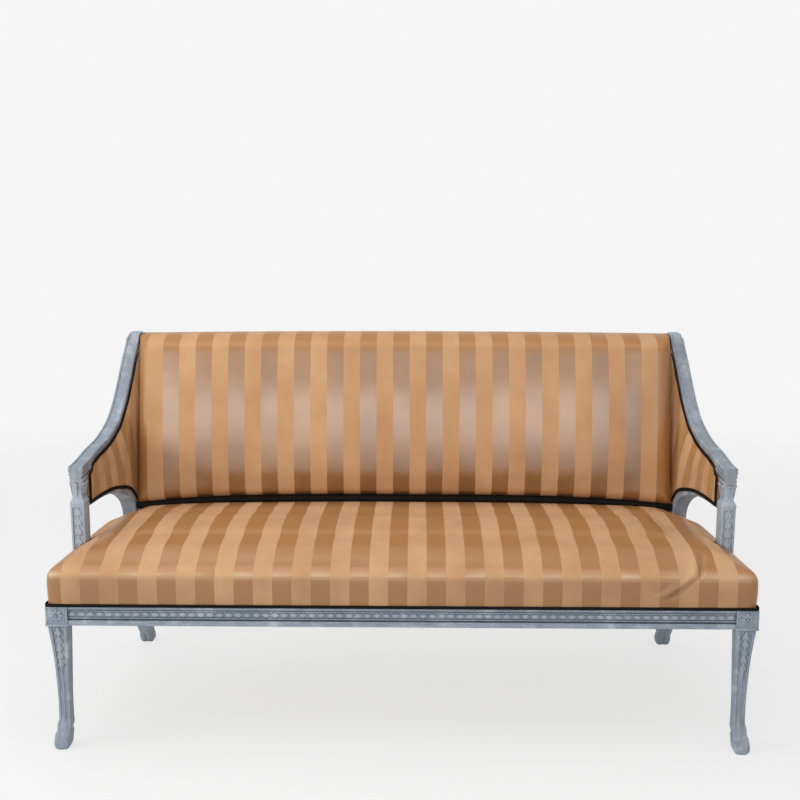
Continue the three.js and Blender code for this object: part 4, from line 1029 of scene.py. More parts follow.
@dataclass
class ArmPost:
    """An arm post: a panelled block with a husk chain, shoulders and a leaf capital."""

    side: Side
    husks: int = 7
    husk_length: float = 0.0245
    husk_width: float = 0.020
    leaves: int = 8
    leaf_foot: float = 0.80
    leaf_height: float = 0.165
    reach: float = 0.020

    @property
    def foot(self) -> Vector:
        """The middle of the post's foot."""
        x = PLAN.post_outer - PLAN.post_width / 2
        y = PLAN.y(PLAN.post_front + PLAN.post_depth / 2)
        return Vector((self.side.value * x, y, PLAN.rail_top + CLEARANCE))

    @property
    def height(self) -> float:
        """The height of the post under the arm."""
        return PLAN.arm_front_height - PLAN.terminal_thickness - CLEARANCE - self.foot.z

    def shape(self, bm: Mesh) -> None:
        """Makes the block, its shoulder moulding and the bell of the capital."""
        shares = [
            (0.0, 1.0, 1.0), (0.735, 1.07, 1.03), (0.748, 1.11, 1.06), (0.765, 1.11, 1.06),
            (0.775, 1.05, 1.03), (0.785, 0.93, 0.97), (0.80, 0.80, 0.86), (0.83, 0.72, 0.78),
            (0.86, 0.70, 0.76), (0.90, 0.74, 0.80), (0.94, 0.84, 0.90), (0.965, 0.94, 0.96),
            (0.97, 1.0, 1.0), (1.0, 1.0, 1.0),
        ]
        stations = [
            Station(self.foot + Vector((0, 0, up * self.height)),
                    Vector((PLAN.post_width * wide, 0, 0)), Vector((0, PLAN.post_depth * deep, 0)))
            for up, wide, deep in shares
        ]
        sweep(bm, rounded_outline(0.06, 2), stations)
        bm.normal_update()
        front = [f for f in bm.faces if f.normal.y < -0.9 and f.calc_area() > 0.003]
        sunk(bm, front, 0.0045, 0.0010, 0.0022)

    def capital(self, bm: Mesh) -> None:
        """Carves upright leaves round the bell, their tips curling out."""
        tall = self.leaf_height * self.height
        base = self.foot + Vector((0, 0, self.leaf_foot * self.height))
        for n in range(self.leaves):
            angle = 2 * math.pi * n / self.leaves
            way = Vector((math.sin(angle), -math.cos(angle), 0))
            edge = 0.5 / max(abs(way.x) / PLAN.post_width, abs(way.y) / PLAN.post_depth)
            out = way * min(edge, self.reach)
            spin = Matrix.Rotation(angle, 4, "Z")
            lean = spin @ Matrix.Rotation(0.16, 4, "X")
            middle = base + Vector((0, 0, tall * 0.48)) + out * 0.76
            drop_in(bm, middle, (0.0105, 0.0085, tall), lean, (8, 8))
            drop_in(bm, middle + way * 0.0042, (0.0026, 0.0030, tall * 0.86), lean, (6, 8))
            tip = base + Vector((0, 0, tall * 0.86)) + out * 1.02
            drop_in(bm, tip, (0.0104, 0.0084, 0.0082), spin)
            drop_in(bm, base - UP * 0.001 + out * 0.80, (0.0084, 0.0060, 0.0052), spin)

    def husk_chain(self, bm: Mesh) -> None:
        """Hangs bellflowers down the sunk panel."""
        for n in range(self.husks):
            z = self.foot.z + 0.182 - n * self.husk_length * 0.98
            top = Vector((self.foot.x, PLAN.y(PLAN.post_front) + 0.0016, z))
            husk_in(bm, top, self.husk_length, self.husk_width)

    def build(self) -> Piece:
        """Makes the post in its place."""
        bm = bmesh.new()
        self.shape(bm)
        self.capital(bm)
        self.husk_chain(bm)
        word = self.side.word
        return made_piece(f"carved_arm_post_{word}", bm, RUBBED_AND_LIT_PAINT, [f"arm_post_{word}"], 35)


@dataclass
class ArmLines:
    """The two lines that the wood and the upholstery of an arm share."""

    side: Side
    steps: int = 72

    def top(self) -> list[Vector]:
        """The middle of the arm's top face, from its front end to the top of the back."""
        # Shares of the way back, of the rise, and of the way in
        shares = [
            (0, 0, 0.04), (0.13, 0.004, 0.02), (0.33, 0.038, 0), (0.545, 0.063, 0),
            (0.686, 0.112, 0.03), (0.789, 0.187, 0.11), (0.841, 0.27, 0.2), (0.88, 0.37, 0.31),
            (0.928, 0.535, 0.47), (0.965, 0.72, 0.66), (0.99, 0.9, 0.9), (1, 1, 1),
        ]
        rear = PLAN.back_front(PLAN.stile_top) - FRONT_Y - PLAN.arm_thickness - CLEARANCE
        rise = PLAN.stile_top - PLAN.arm_front_height
        points = []
        for back, up, inward in shares:
            x = mix(PLAN.arm_outer, PLAN.rear_top_half, inward) - PLAN.arm_width / 2
            y = PLAN.y(PLAN.arm_front + back * (rear - PLAN.arm_front))
            points.append(Vector((self.side.value * x, y, PLAN.arm_front_height + up * rise)))
        return smooth_line(points, self.steps)

    def arch(self) -> list[Vector]:
        """The upper edge of the arch, at its inner face, from the post down to the side rail."""
        # Shares of the way back, of the drop, and of the way in
        shares = [
            (0, 0, 0), (0.31, 0.006, 0.22), (0.51, 0.033, 0.39), (0.667, 0.087, 0.55),
            (0.80, 0.15, 0.68), (0.89, 0.225, 0.77), (0.955, 0.34, 0.89), (0.99, 0.5, 0.97),
            (1, 0.75, 1), (1, 1, 1),
        ]
        drop = PLAN.arch_spring - PLAN.rail_top - CLEARANCE
        points = []
        for back, down, inward in shares:
            x = mix(PLAN.post_inner - 0.003, PLAN.arch_inner_rear, inward)
            y = PLAN.y(mix(PLAN.post_rear + CLEARANCE, PLAN.arch_rear, back))
            points.append(Vector((self.side.value * x, y, PLAN.arch_spring - down * drop)))
        return smooth_line(points, self.steps)

    @staticmethod
    def normal(points: Sequence[Vector], index: int) -> Vector:
        """The upward normal of a line at one of its points, in the side view."""
        along = tangent(points, index)
        return Vector((0, -along.z, along.y)).normalized()

    def arm_thickness(self, y: float) -> float:
        """How thick the arm is at a place: its front end is deeper than the rest."""
        end = PLAN.y(PLAN.arm_front + PLAN.terminal_length)
        return mix(PLAN.terminal_thickness, PLAN.arm_thickness, smooth(end, end + 0.014, y))

    def arch_thickness(self, y: float) -> float:
        """How thick the arch is at a place: it grows towards its foot."""
        share = clamp((y - PLAN.y(PLAN.post_rear)) / (PLAN.arch_rear - PLAN.post_rear))
        return mix(0.005, 0.022, share * share)

    def arm_under(self) -> list[Vector]:
        """The line under the arm that its panel meets."""
        line = self.top()
        return [
            point - self.normal(line, n) * (self.arm_thickness(point.y) + CLEARANCE)
            for n, point in enumerate(line)
        ]


@dataclass
class ArmRail:
    """The arm from its scrolled front end up to the top of the back, and the arch under it."""

    lines: ArmLines
    end_radius: float = 0.017
    arch_width: float = 0.038

    @staticmethod
    def band() -> Pairs:
        """The arm's section: a sunk band between two edge beads."""
        w, t = PLAN.arm_width / 2, PLAN.arm_thickness
        right = [
            (0.0112, -0.0016), (0.0116, -0.0006), (0.0130, 0.0004), (0.0150, 0.0002), (w, -0.0014),
            (w + 0.0002, -0.0040), (w - 0.0012, -0.0052), (w, -0.0066), (w, -t + 0.0030),
            (w - 0.0015, -t),
        ]
        return mirrored(right[::-1])

    @staticmethod
    def terminal() -> Pairs:
        """The section of the moulding under the front end."""
        w, low = PLAN.arm_width / 2, -PLAN.terminal_thickness
        right = [
            (w - 0.0022, -0.015), (w - 0.0022, -0.0185), (w - 0.0002, -0.0200),
            (w - 0.0002, -0.0232), (w - 0.0030, -0.0248), (w - 0.0040, low + 0.0015),
            (w - 0.0050, low),
        ]
        return mirrored(right[::-1])

    def build(self) -> Piece:
        """Makes the arm rail in its place."""
        bm = bmesh.new()
        line = self.lines.top()
        line = [*line[:-4], *resampled(line[-4:], 16)]
        aside = Vector((1, 0, 0))
        stations = [Station(p, aside, self.lines.normal(line, n)) for n, p in enumerate(line)]
        sweep(bm, self.band(), stations)
        self.round_end(bm, line)
        end = PLAN.y(PLAN.arm_front + PLAN.terminal_length + 0.010)
        sweep(bm, self.terminal(), [s for s in stations if s.centre.y < end])
        word = self.lines.side.word
        return made_piece(f"carved_arm_rail_{word}", bm, PAINT, [f"arm_rail_{word}"], 30)

    def round_end(self, bm: Mesh, line: Sequence[Vector]) -> None:
        """Rounds the outer corner of the arm where it ends at the top of the back."""
        outline, along = bm.verts.layers.float_vector["outline"], bm.verts.layers.float["along"]
        length = sum((after - before).length for before, after in zip(line, line[1:]))
        direction = tangent(line, len(line) - 1)
        sign, radius = self.lines.side.value, self.end_radius
        for vert in bm.verts:
            ahead = radius - length + vert[along]
            aside = radius - PLAN.arm_width / 2 + sign * vert[outline].x
            if ahead > 0 and aside > 0:
                pull = 1 - max(ahead, aside) / max(math.hypot(ahead, aside), 1e-6)
                vert.co -= direction * ahead * pull
                vert.co.x -= sign * aside * pull

    def arch(self) -> Piece:
        """Makes the arch in its place."""
        bm = bmesh.new()
        line = self.lines.arch()
        wide = Vector((self.lines.side.value * self.arch_width, 0, 0))
        stations = [
            Station(point, wide, self.lines.normal(line, n) * self.lines.arch_thickness(point.y))
            for n, point in enumerate(line)
        ]
        outline = [
            (0.04, 0), (0.96, 0), (1, -0.12), (1, -0.88), (0.96, -1), (0.04, -1), (0, -0.88),
            (0, -0.12),
        ]
        sweep(bm, outline, stations)
        word = self.lines.side.word
        return made_piece(f"shaped_arm_arch_{word}", bm, PAINT, [f"arm_arch_{word}"], 30)


# The upholstery


def give_cloth_lines(piece: Piece, lines: Callable[[Vector, Vector], tuple[float, ...]]) -> None:
    """Writes how the cloth's threads run: the distance across its stripes and along them.

    Args:
        piece: The covered piece.
        lines: Turns a point and its normal into those two distances, and where the cloth is
            rubbed pale with a painted highlight, has lost its shine, or carries painted shade and
            soil, into how much, from 0 to 1.
    """
    mesh = piece.data
    places = [lines(vert.co, vert.normal) for vert in mesh.vertices]
    for name, values in zip(("weft", "warp", "worn", "dull", "shade_and_soil"), zip(*places)):
        mesh.attributes.new(name, "FLOAT", "POINT")
        mesh.attributes[name].data.foreach_set("value", values)


def boundary(bm: Mesh) -> list[bmesh.types.BMEdge]:
    """The open edges of a mesh."""
    return [edge for edge in bm.edges if edge.is_boundary]


def grown_ring(bm: Mesh) -> list[bmesh.types.BMVert]:
    """Extrudes the open edges of a mesh and hands out the new points."""
    grown = bmesh.ops.extrude_edge_only(bm, edges=boundary(bm))["geom"]
    return [item for item in grown if isinstance(item, bmesh.types.BMVert)]


def corner_out(vert: bmesh.types.BMVert) -> Vector:
    """The level direction that leads out of a sheet at a border point, longer at a corner."""
    total = Vector((0, 0, 0))
    for edge in vert.link_edges:
        if edge.is_boundary:
            along = edge.other_vert(vert).co - vert.co
            out = Vector((along.y, -along.x, 0))
            if out.dot(edge.link_faces[0].calc_center_median() - vert.co) > 0:
                out.negate()
            total += out.normalized()
    return total / max(total.length_squared / 2, 1e-6) if total.length > 1e-6 else total


def puffed(piece: Piece, free: Callable[[Vector], float], pressure: float, ease: float,
           cap: float) -> None:
    """Presses a cover out from within by cloth simulation, as stuffing does, and applies it.

    Args:
        piece: The padded piece.
        free: How free the cover is at a place: 0 where it is tacked down, 1 where it is loose.
        pressure: How hard the stuffing presses.
        ease: How much longer the cover is than its pattern.
        cap: The furthest that a point may move, in metres.
    """
    mesh = piece.data
    rest = [vert.co.copy() for vert in mesh.vertices]
    held = piece.vertex_groups.new(name="tacked")
    freedom = [free(place) for place in rest]
    held.add([n for n, share in enumerate(freedom) if share <= 0], 1.0, "REPLACE")
    cloth = piece.modifiers.new("stuffing", "CLOTH")
    cloth.collision_settings.use_collision = False
    settings = cloth.settings
    settings.quality = 4
    settings.mass = 0.3
    settings.tension_stiffness = settings.compression_stiffness = 25
    settings.shear_stiffness = 10
    settings.bending_stiffness = 1.5
    settings.use_pressure = True
    settings.uniform_pressure_force = pressure
    settings.shrink_min = -ease
    settings.vertex_group_mass = held.name
    settings.effector_weights.gravity = 0
    scene = bpy.context.scene
    for frame_number in range(1, 15):
        scene.frame_set(frame_number)
    pressed = piece.evaluated_get(bpy.context.evaluated_depsgraph_get())
    places = [vert.co.copy() for vert in pressed.data.vertices]
    piece.modifiers.remove(cloth)
    piece.vertex_groups.remove(held)
    scene.frame_set(1)
    furthest = 0.0
    for vert, before, after, share in zip(mesh.vertices, rest, places, freedom):
        # Only outwards or inwards, so the stripes stay straight, and never past the cap
        raised = (after - before).dot(vert.normal) * share
        furthest = max(furthest, abs(raised))
        vert.co = before + vert.normal * (cap * math.tanh(raised / cap))
    mesh.update()
    LOG.info("%s: stuffed, the simulation raised it by up to %.1f mm", piece.name, furthest * 1000)


def rounded_off(piece: Piece, passes: int, folds: Callable[[Vector], float] | None = None,
                folded: Callable[[Vector], bool] | None = None) -> None:
    """Halves the faces of a cover and rounds them, with the cloth's lines kept.

    Args:
        piece: The cover.
        passes: How often it is smoothed.
        folds: How far the cloth's folds lift it at a place, in metres.
        folded: Where those folds are, so that the faces there are cut finer.
    """
    bm = bmesh.new()
    bm.from_mesh(piece.data)
    fine = {edge for face in bm.faces if len(face.verts) == 4 for edge in face.edges}
    bmesh.ops.subdivide_edges(bm, edges=list(fine), cuts=1, use_grid_fill=True)
    loose = [v for v in bm.verts if all(len(f.verts) == 4 for f in v.link_faces)]
    for _ in range(passes):
        bmesh.ops.smooth_vert(
            bm, verts=loose, factor=0.5, use_axis_x=True, use_axis_y=True, use_axis_z=True
        )
    if folds and folded:
        near = [e for e in bm.edges if all(folded(v.co) for v in e.verts)]
        bmesh.ops.subdivide_edges(bm, edges=near, cuts=2, use_grid_fill=True)
        bm.normal_update()
        shift(bm.verts, folds, lambda vert: folded(vert.co))
    bm.to_mesh(piece.data)
    bm.free()


def shift(verts: Iterable[bmesh.types.BMVert], height: Callable[[Vector], float],
          where: Callable[[bmesh.types.BMVert], bool]) -> None:
    """Moves some points along their normals, all at once."""
    for vert, move in [(v, v.normal * height(v.co)) for v in verts if where(v)]:
        vert.co += move


def swell_at(across: float, along: float) -> float:
    """The swell of a stuffed face at a place on it: 0 at its edges, where a place is 1 or -1."""
    return (1 - abs(across) ** 6) * (1 - abs(along) ** 2.4)


def crowded(share: float, power: float) -> float:
    """A place from -1 to 1, drawn towards the ends so that the rows are denser there."""
    return math.copysign(1 - (1 - abs(share)) ** power, share)


@dataclass
class Seat:
    """The seat: a stuffed form with a stitched edge, cut round the posts and the arches."""

    depth: float = 0.566
    edge_in: float = 0.004
    roll: float = 0.097
    edge_height: float = 0.4275
    crown: float = 0.009
    rear_drop: float = 0.009
    corner: float = 0.020
    spill: tuple[float, float, float] = (0.690, -0.105, 0.455)
    columns: int = 120
    rows: int = 48
    notch_gap: float = 0.0025
    cover: float = 0.003
    arch_cut: tuple[float, float] = (0.466, 0.474)
    arch_foot: tuple[float, float] = (0.455, 0.490)
    lean: float = 0.0235
    bottom: float = 0.3516
    # Heights down the fall, and how far the cover stands out there
    fall: tuple[tuple[float, float], ...] = (
        (0.4235, 0.0025), (0.4165, 0.0042), (0.405, 0.0050), (0.392, 0.0052), (0.378, 0.0048),
        (0.366, 0.0042), (0.356, 0.0036), (0.3487, 0.0032),
    )

    def half_at(self, behind: float) -> float:
        """Half the seat's width, which is cut in round the posts and the arches."""
        full = PLAN.half_at(behind)
        post = smooth(PLAN.post_front - 0.008, PLAN.post_front - 0.002, behind)
        post *= smooth(PLAN.post_rear + 0.008, PLAN.post_rear + 0.002, behind)
        full = mix(full, PLAN.post_inner - self.notch_gap - self.cover, post)
        arch = smooth(*self.arch_cut, behind)
        return mix(full, PLAN.arch_inner_rear - self.notch_gap - self.cover, arch)

    def height(self, inset: float, u: float, v: float) -> float:
        """The height of the top.

        Args:
            inset: The distance from the nearest edge.
            u: The place across, from -1 to 1.
            v: The place from front to rear, from -1 to 1.

        Returns:
            The height over the floor.
        """
        share = 1 - clamp(inset / self.roll)
        rise = PLAN.seat_edge - (PLAN.seat_edge - self.edge_height) * share**1.7
        drop = self.rear_drop * (1 + 1.1 * u * u) * smooth(0.35, 0.70, v)
        return rise + self.crown * swell_at(u, v) - drop

    def top(self, across: float, along: float) -> tuple[float, float, float]:
        """A point of the top face."""
        u, v = crowded(across, 1.25), crowded(along, 1.15)
        behind = mix(self.edge_in, self.depth - self.edge_in, (v + 1) / 2)
        half = self.half_at(behind) - self.edge_in
        uncut = PLAN.half_at(behind) - self.edge_in
        x = u * uncut
        cut = uncut - half
        if cut > 0.001:
            x -= math.copysign(cut * smooth(uncut - 3 * cut - 1e-6, uncut, abs(x)), x)
        dx, dy = half - abs(x), behind - self.edge_in
        inset = max(min(uncut - abs(x), dy), 0)
        border = min(dx, dy, self.depth - self.edge_in - behind)
        rounded = 0.0040 * max(0.0, 1 - border / 0.007) ** 2
        if dx < self.corner and dy < self.corner:
            reach = math.hypot(self.corner - dx, self.corner - dy)
            pull = max(self.corner - dx, self.corner - dy) / reach
            dx, dy = (self.corner - (self.corner - d) * pull for d in (dx, dy))
            x, behind = math.copysign(half - dx, x), self.edge_in + dy
        return x, PLAN.y(behind), self.height(inset, u, v) - rounded

    def falls(self, bm: Mesh) -> None:
        """Draws the sides down to the rails and closes the bottom."""
        out = bm.verts.layers.float_vector.new("out")
        base = bm.verts.layers.float_vector.new("base")
        for vert in (v for v in bm.verts if v.is_boundary):
            vert[out] = corner_out(vert)
            vert[base] = vert.co.copy()
        for z, reach in self.fall:
            for vert in grown_ring(bm):
                place = vert[base] + vert[out] * reach
                if self.arch_foot[0] < vert[base].y - FRONT_Y < self.arch_foot[1]:
                    # The cut's front wall leans back to the arch's foot
                    place.y += self.lean * max(0.0, vert[out].y) * clamp((0.415 - z) / 0.045)
                crest = vert[base].z - self.edge_height
                vert.co = (place.x, place.y, z + crest * clamp((z - 0.35) / 0.07))
        grown = bmesh.ops.contextual_create(bm, geom=boundary(bm))["faces"]
        bmesh.ops.inset_region(bm, faces=grown, thickness=0.014, depth=0.0)
        for vert in grown[0].verts:
            vert.co.z = self.bottom
        bmesh.ops.recalc_face_normals(bm, faces=bm.faces[:])

    def cloth_lines(self, place: Vector, normal: Vector) -> tuple[float, ...]:
        """Stripes run from front to rear and go down the sides with the cloth."""
        down = max(0.0, 0.43 - place.z)
        across = place.x + math.copysign(smooth(0.55, 0.9, abs(normal.x)) * down, place.x)
        forward = smooth(0.4, 0.9, abs(normal.y)) * down
        uneven = 0.7 + 0.9 * noise.noise(Vector((place.x * 13, 0, 7)))
        # A pale band along the front edge roll: rubbed wear and a painted highlight
        level = self.edge_height - 0.002 + 0.003 * noise.noise(Vector((place.x * 7, 2, 0)))
        rubbed = bell(place.z - level, 0.0055) * smooth(0.03, 0.0, place.y - FRONT_Y)
        spill = bell((place - Vector(self.spill)).length, 0.030)
        spill *= 0.6 + 0.4 * noise.noise(place * 60)
        # Painted shade darkens the whole fall; the spill by the right arm is a stain
        shade_and_soil = max(0.40 * smooth(0.426, 0.412, place.z), 0.8 * clamp(spill))
        return across, place.y - forward, clamp(rubbed * uneven), 0.85, shade_and_soil

    def free(self, place: Vector) -> float:
        """How free the cover is: not at its foot, round the posts and arches, or behind."""
        behind = place.y - FRONT_Y
        full, half = PLAN.half_at(behind), self.half_at(behind)
        at_wood = smooth(0.012, 0.050, half - abs(place.x)) if full - half > 0.002 else 1.0
        inset = min(full - abs(place.x), behind)
        at_edge = smooth(self.edge_in + 0.010, self.edge_in + 0.055, inset)
        return at_edge * at_wood * smooth(self.depth - 0.090, self.depth - 0.240, behind)

    @staticmethod
    def wrinkle(place: Vector) -> float:
        """The soft pulls of old cloth, in metres."""
        pull = noise.noise(Vector((place.x * 9, place.y * 4, place.z * 9 + 3.0)))
        fine = noise.noise(Vector((place.x * 34, place.y * 9, place.z * 30)))
        return 0.0010 * pull + 0.0004 * fine

    def folds(self, place: Vector) -> float:
        """The slanting fold at the right front corner, in metres."""
        behind = place.y - FRONT_Y
        drop = clamp((self.edge_height - place.z) / 0.056)
        middle = mix(0.668 + 0.30 * clamp(behind, 0, 0.06), 0.598, drop)
        away = (place.x - middle) / (1 + 0.6 * drop)
        strength = smooth(0.085, 0.015, behind) * (1 - smooth(0.75, 1.0, drop))
        return strength * (-0.0055 * bell(away, 0.0060) + 0.0042 * bell(away + 0.016, 0.010))

    @staticmethod
    def folded(place: Vector) -> bool:
        """Whether the cloth is folded there, at the right front corner."""
        return place.x > 0.54 and place.y < FRONT_Y + 0.10 and place.z > 0.362

    def build(self) -> Piece:
        """Makes the seat in its place."""
        bm = grid(self.columns, self.rows, self.top)
        self.falls(bm)
        bm.normal_update()
        shift(bm.verts, self.wrinkle, lambda vert: vert.co.z > 0.36)
        piece = made_piece("stuffed_seat", bm, SATIN, ["seat_cover", "seat_stuffing"], 80)
        give_cloth_lines(piece, self.cloth_lines)
        puffed(piece, self.free, 2.0, 0.003, 0.005)
        rounded_off(piece, 2, self.folds, self.folded)
        return piece


@dataclass
class BackPad:
    """The back: a crowned pad that leans with the stiles and droops at its lower corners."""

    bottom: float = 0.4775
    top: float = 0.9010
    half_top: float = 0.7055
    half_bottom: float = 0.7120
    depth_top: float = 0.097
    depth_bottom: float = 0.116
    roll: float = 0.032
    crown: float = 0.014
    droop: float = 0.026
    top_droop: float = 0.005
    belly: float = 0.0045
    columns: int = 100
    rows: int = 36
    falls: tuple[float, ...] = (0.46, 0.38, 0.28, 0.18, 0.08)

    def lowered(self, x: float, z: float, forward: float) -> Vector:
        """A point of the pad with its droop.

        Args:
            x: The place across.
            z: The height before the lower edge droops.
            forward: The distance before the rear plane of the back frame.

        Returns:
            The point.
        """
        up = (z - self.bottom) / (self.top - self.bottom)
        aside = abs(x) / self.half_bottom
        level = z - self.droop * aside**3.5 * (1 - up) - self.top_droop * aside**2 * up
        return Vector((x, PLAN.back_front(level) + PLAN.stile_depth_top - forward, level))

    def full(self, z: float) -> float:
        """The pad's depth at its edge roll, at a height."""
        return mix(self.depth_bottom, self.depth_top, (z - self.bottom) / (self.top - self.bottom))

    def curl(self, low: float, high: float, z: float) -> float:
        """A value that changes over the lowest tenth of a metre of the pad."""
        return mix(low, high, smooth(self.bottom, self.bottom + 0.10, z))

    def face(self, across: float, along: float) -> tuple[float, float, float]:
        """A point of the front face, in the pad's own flat coordinates."""
        u, v = crowded(across, 1.2), crowded(along, 1.2)
        z = mix(self.bottom, self.top, (v + 1) / 2)
        half = mix(self.half_bottom, self.half_top, (v + 1) / 2)
        x = u * half
        share = 1 - clamp(min(half - abs(x), z - self.bottom, self.top - z) / self.roll)
        tuck = self.belly * clamp((self.bottom + 0.145 - z) / 0.12, 0, 2) ** 1.5
        rolled = self.full(z) * (1 - self.curl(0.25, 0.45, z) * share**3.2)
        return x, -(rolled + self.crown * swell_at(u, v) - tuck), z

    def sides(self, bm: Mesh) -> None:
        """Draws the sides back to the frame, and over the crest rail at the top."""
        base = bm.verts.layers.float_vector.new("base")
        for vert in (v for v in bm.verts if v.is_boundary):
            vert[base] = vert.co.copy()
        first, last = 0.55, self.falls[-1]
        for share in self.falls:
            for vert in grown_ring(bm):
                x, _, z = vert[base]
                wrap = smooth(0.8825, 0.8875, z)
                deepest = mix(PLAN.stile_depth_top + 0.0042, 0.0008, wrap)
                reach = self.curl(0.75, 0.55, z) * self.full(z)
                forward = mix(deepest, reach, (share - last) / (first - last))
                tuck = 0.004 * (1 - share / first)
                vert.co = (x - math.copysign(tuck, x), -forward, z)
        bmesh.ops.contextual_create(bm, geom=boundary(bm))
        bmesh.ops.recalc_face_normals(bm, faces=bm.faces[:])

    @staticmethod
    def cloth_lines(place: Vector, normal: Vector) -> tuple[float, ...]:
        """Stripes run upright and turn round the sides with the cloth."""
        back = max(0.0, place.y - PLAN.back_front(place.z) + 0.05)
        sideways, over = (smooth(0.6, 0.9, abs(part)) * back for part in (normal.x, normal.z))
        handled = smooth(0.845, 0.880, place.z + 0.004 * noise.noise(place * 11))
        handled = max(handled, 0.95 * smooth(0.655, 0.684, abs(place.x)))
        return place.x + math.copysign(sideways, place.x), place.z + over, 0.0, handled

    def free(self, place: Vector) -> float:
        """How free the cover is: not along its sides, where it goes back to the frame."""
        if PLAN.back_front(place.z) + PLAN.stile_depth_top - place.y < 0.5 * self.full(place.z):
            return 0.0
        at_side = smooth(0.015, 0.200, self.half_top - abs(place.x))
        at_top = smooth(self.top - 0.015, self.top - 0.190, place.z)
        return at_side * at_top * smooth(self.bottom + 0.004, self.bottom + 0.080, place.z)

    @staticmethod
    def wrinkle(place: Vector) -> float:
        """The soft unevenness of hair stuffing, in metres."""
        broad = noise.noise(Vector((place.x * 5, 1.0, place.z * 6)))
        fine = noise.noise(Vector((place.x * 24, 2.0, place.z * 10)))
        edge = smooth(0.56, 0.66, abs(place.x))
        pulls = math.sin(place.z * 150 + 3.5 * noise.noise(Vector((place.x * 8, 0, place.z * 9))))
        return 0.0012 * broad + 0.0002 * fine + 0.0002 * pulls * edge

    def build(self) -> Piece:
        """Makes the pad in its place."""
        bm = grid(self.columns, self.rows, self.face)
        self.sides(bm)
        for vert in bm.verts:
            vert.co = self.lowered(vert.co.x, vert.co.z, -vert.co.y)
        bm.normal_update()
        shift(bm.verts, self.wrinkle, lambda vert: vert.normal.y < -0.3)
        piece = made_piece("stuffed_back", bm, SATIN, ["back_cover", "back_stuffing"], 80)
        give_cloth_lines(piece, self.cloth_lines)
        puffed(piece, self.free, 2.5, 0.0, 0.006)
        rounded_off(piece, 4)
        return piece


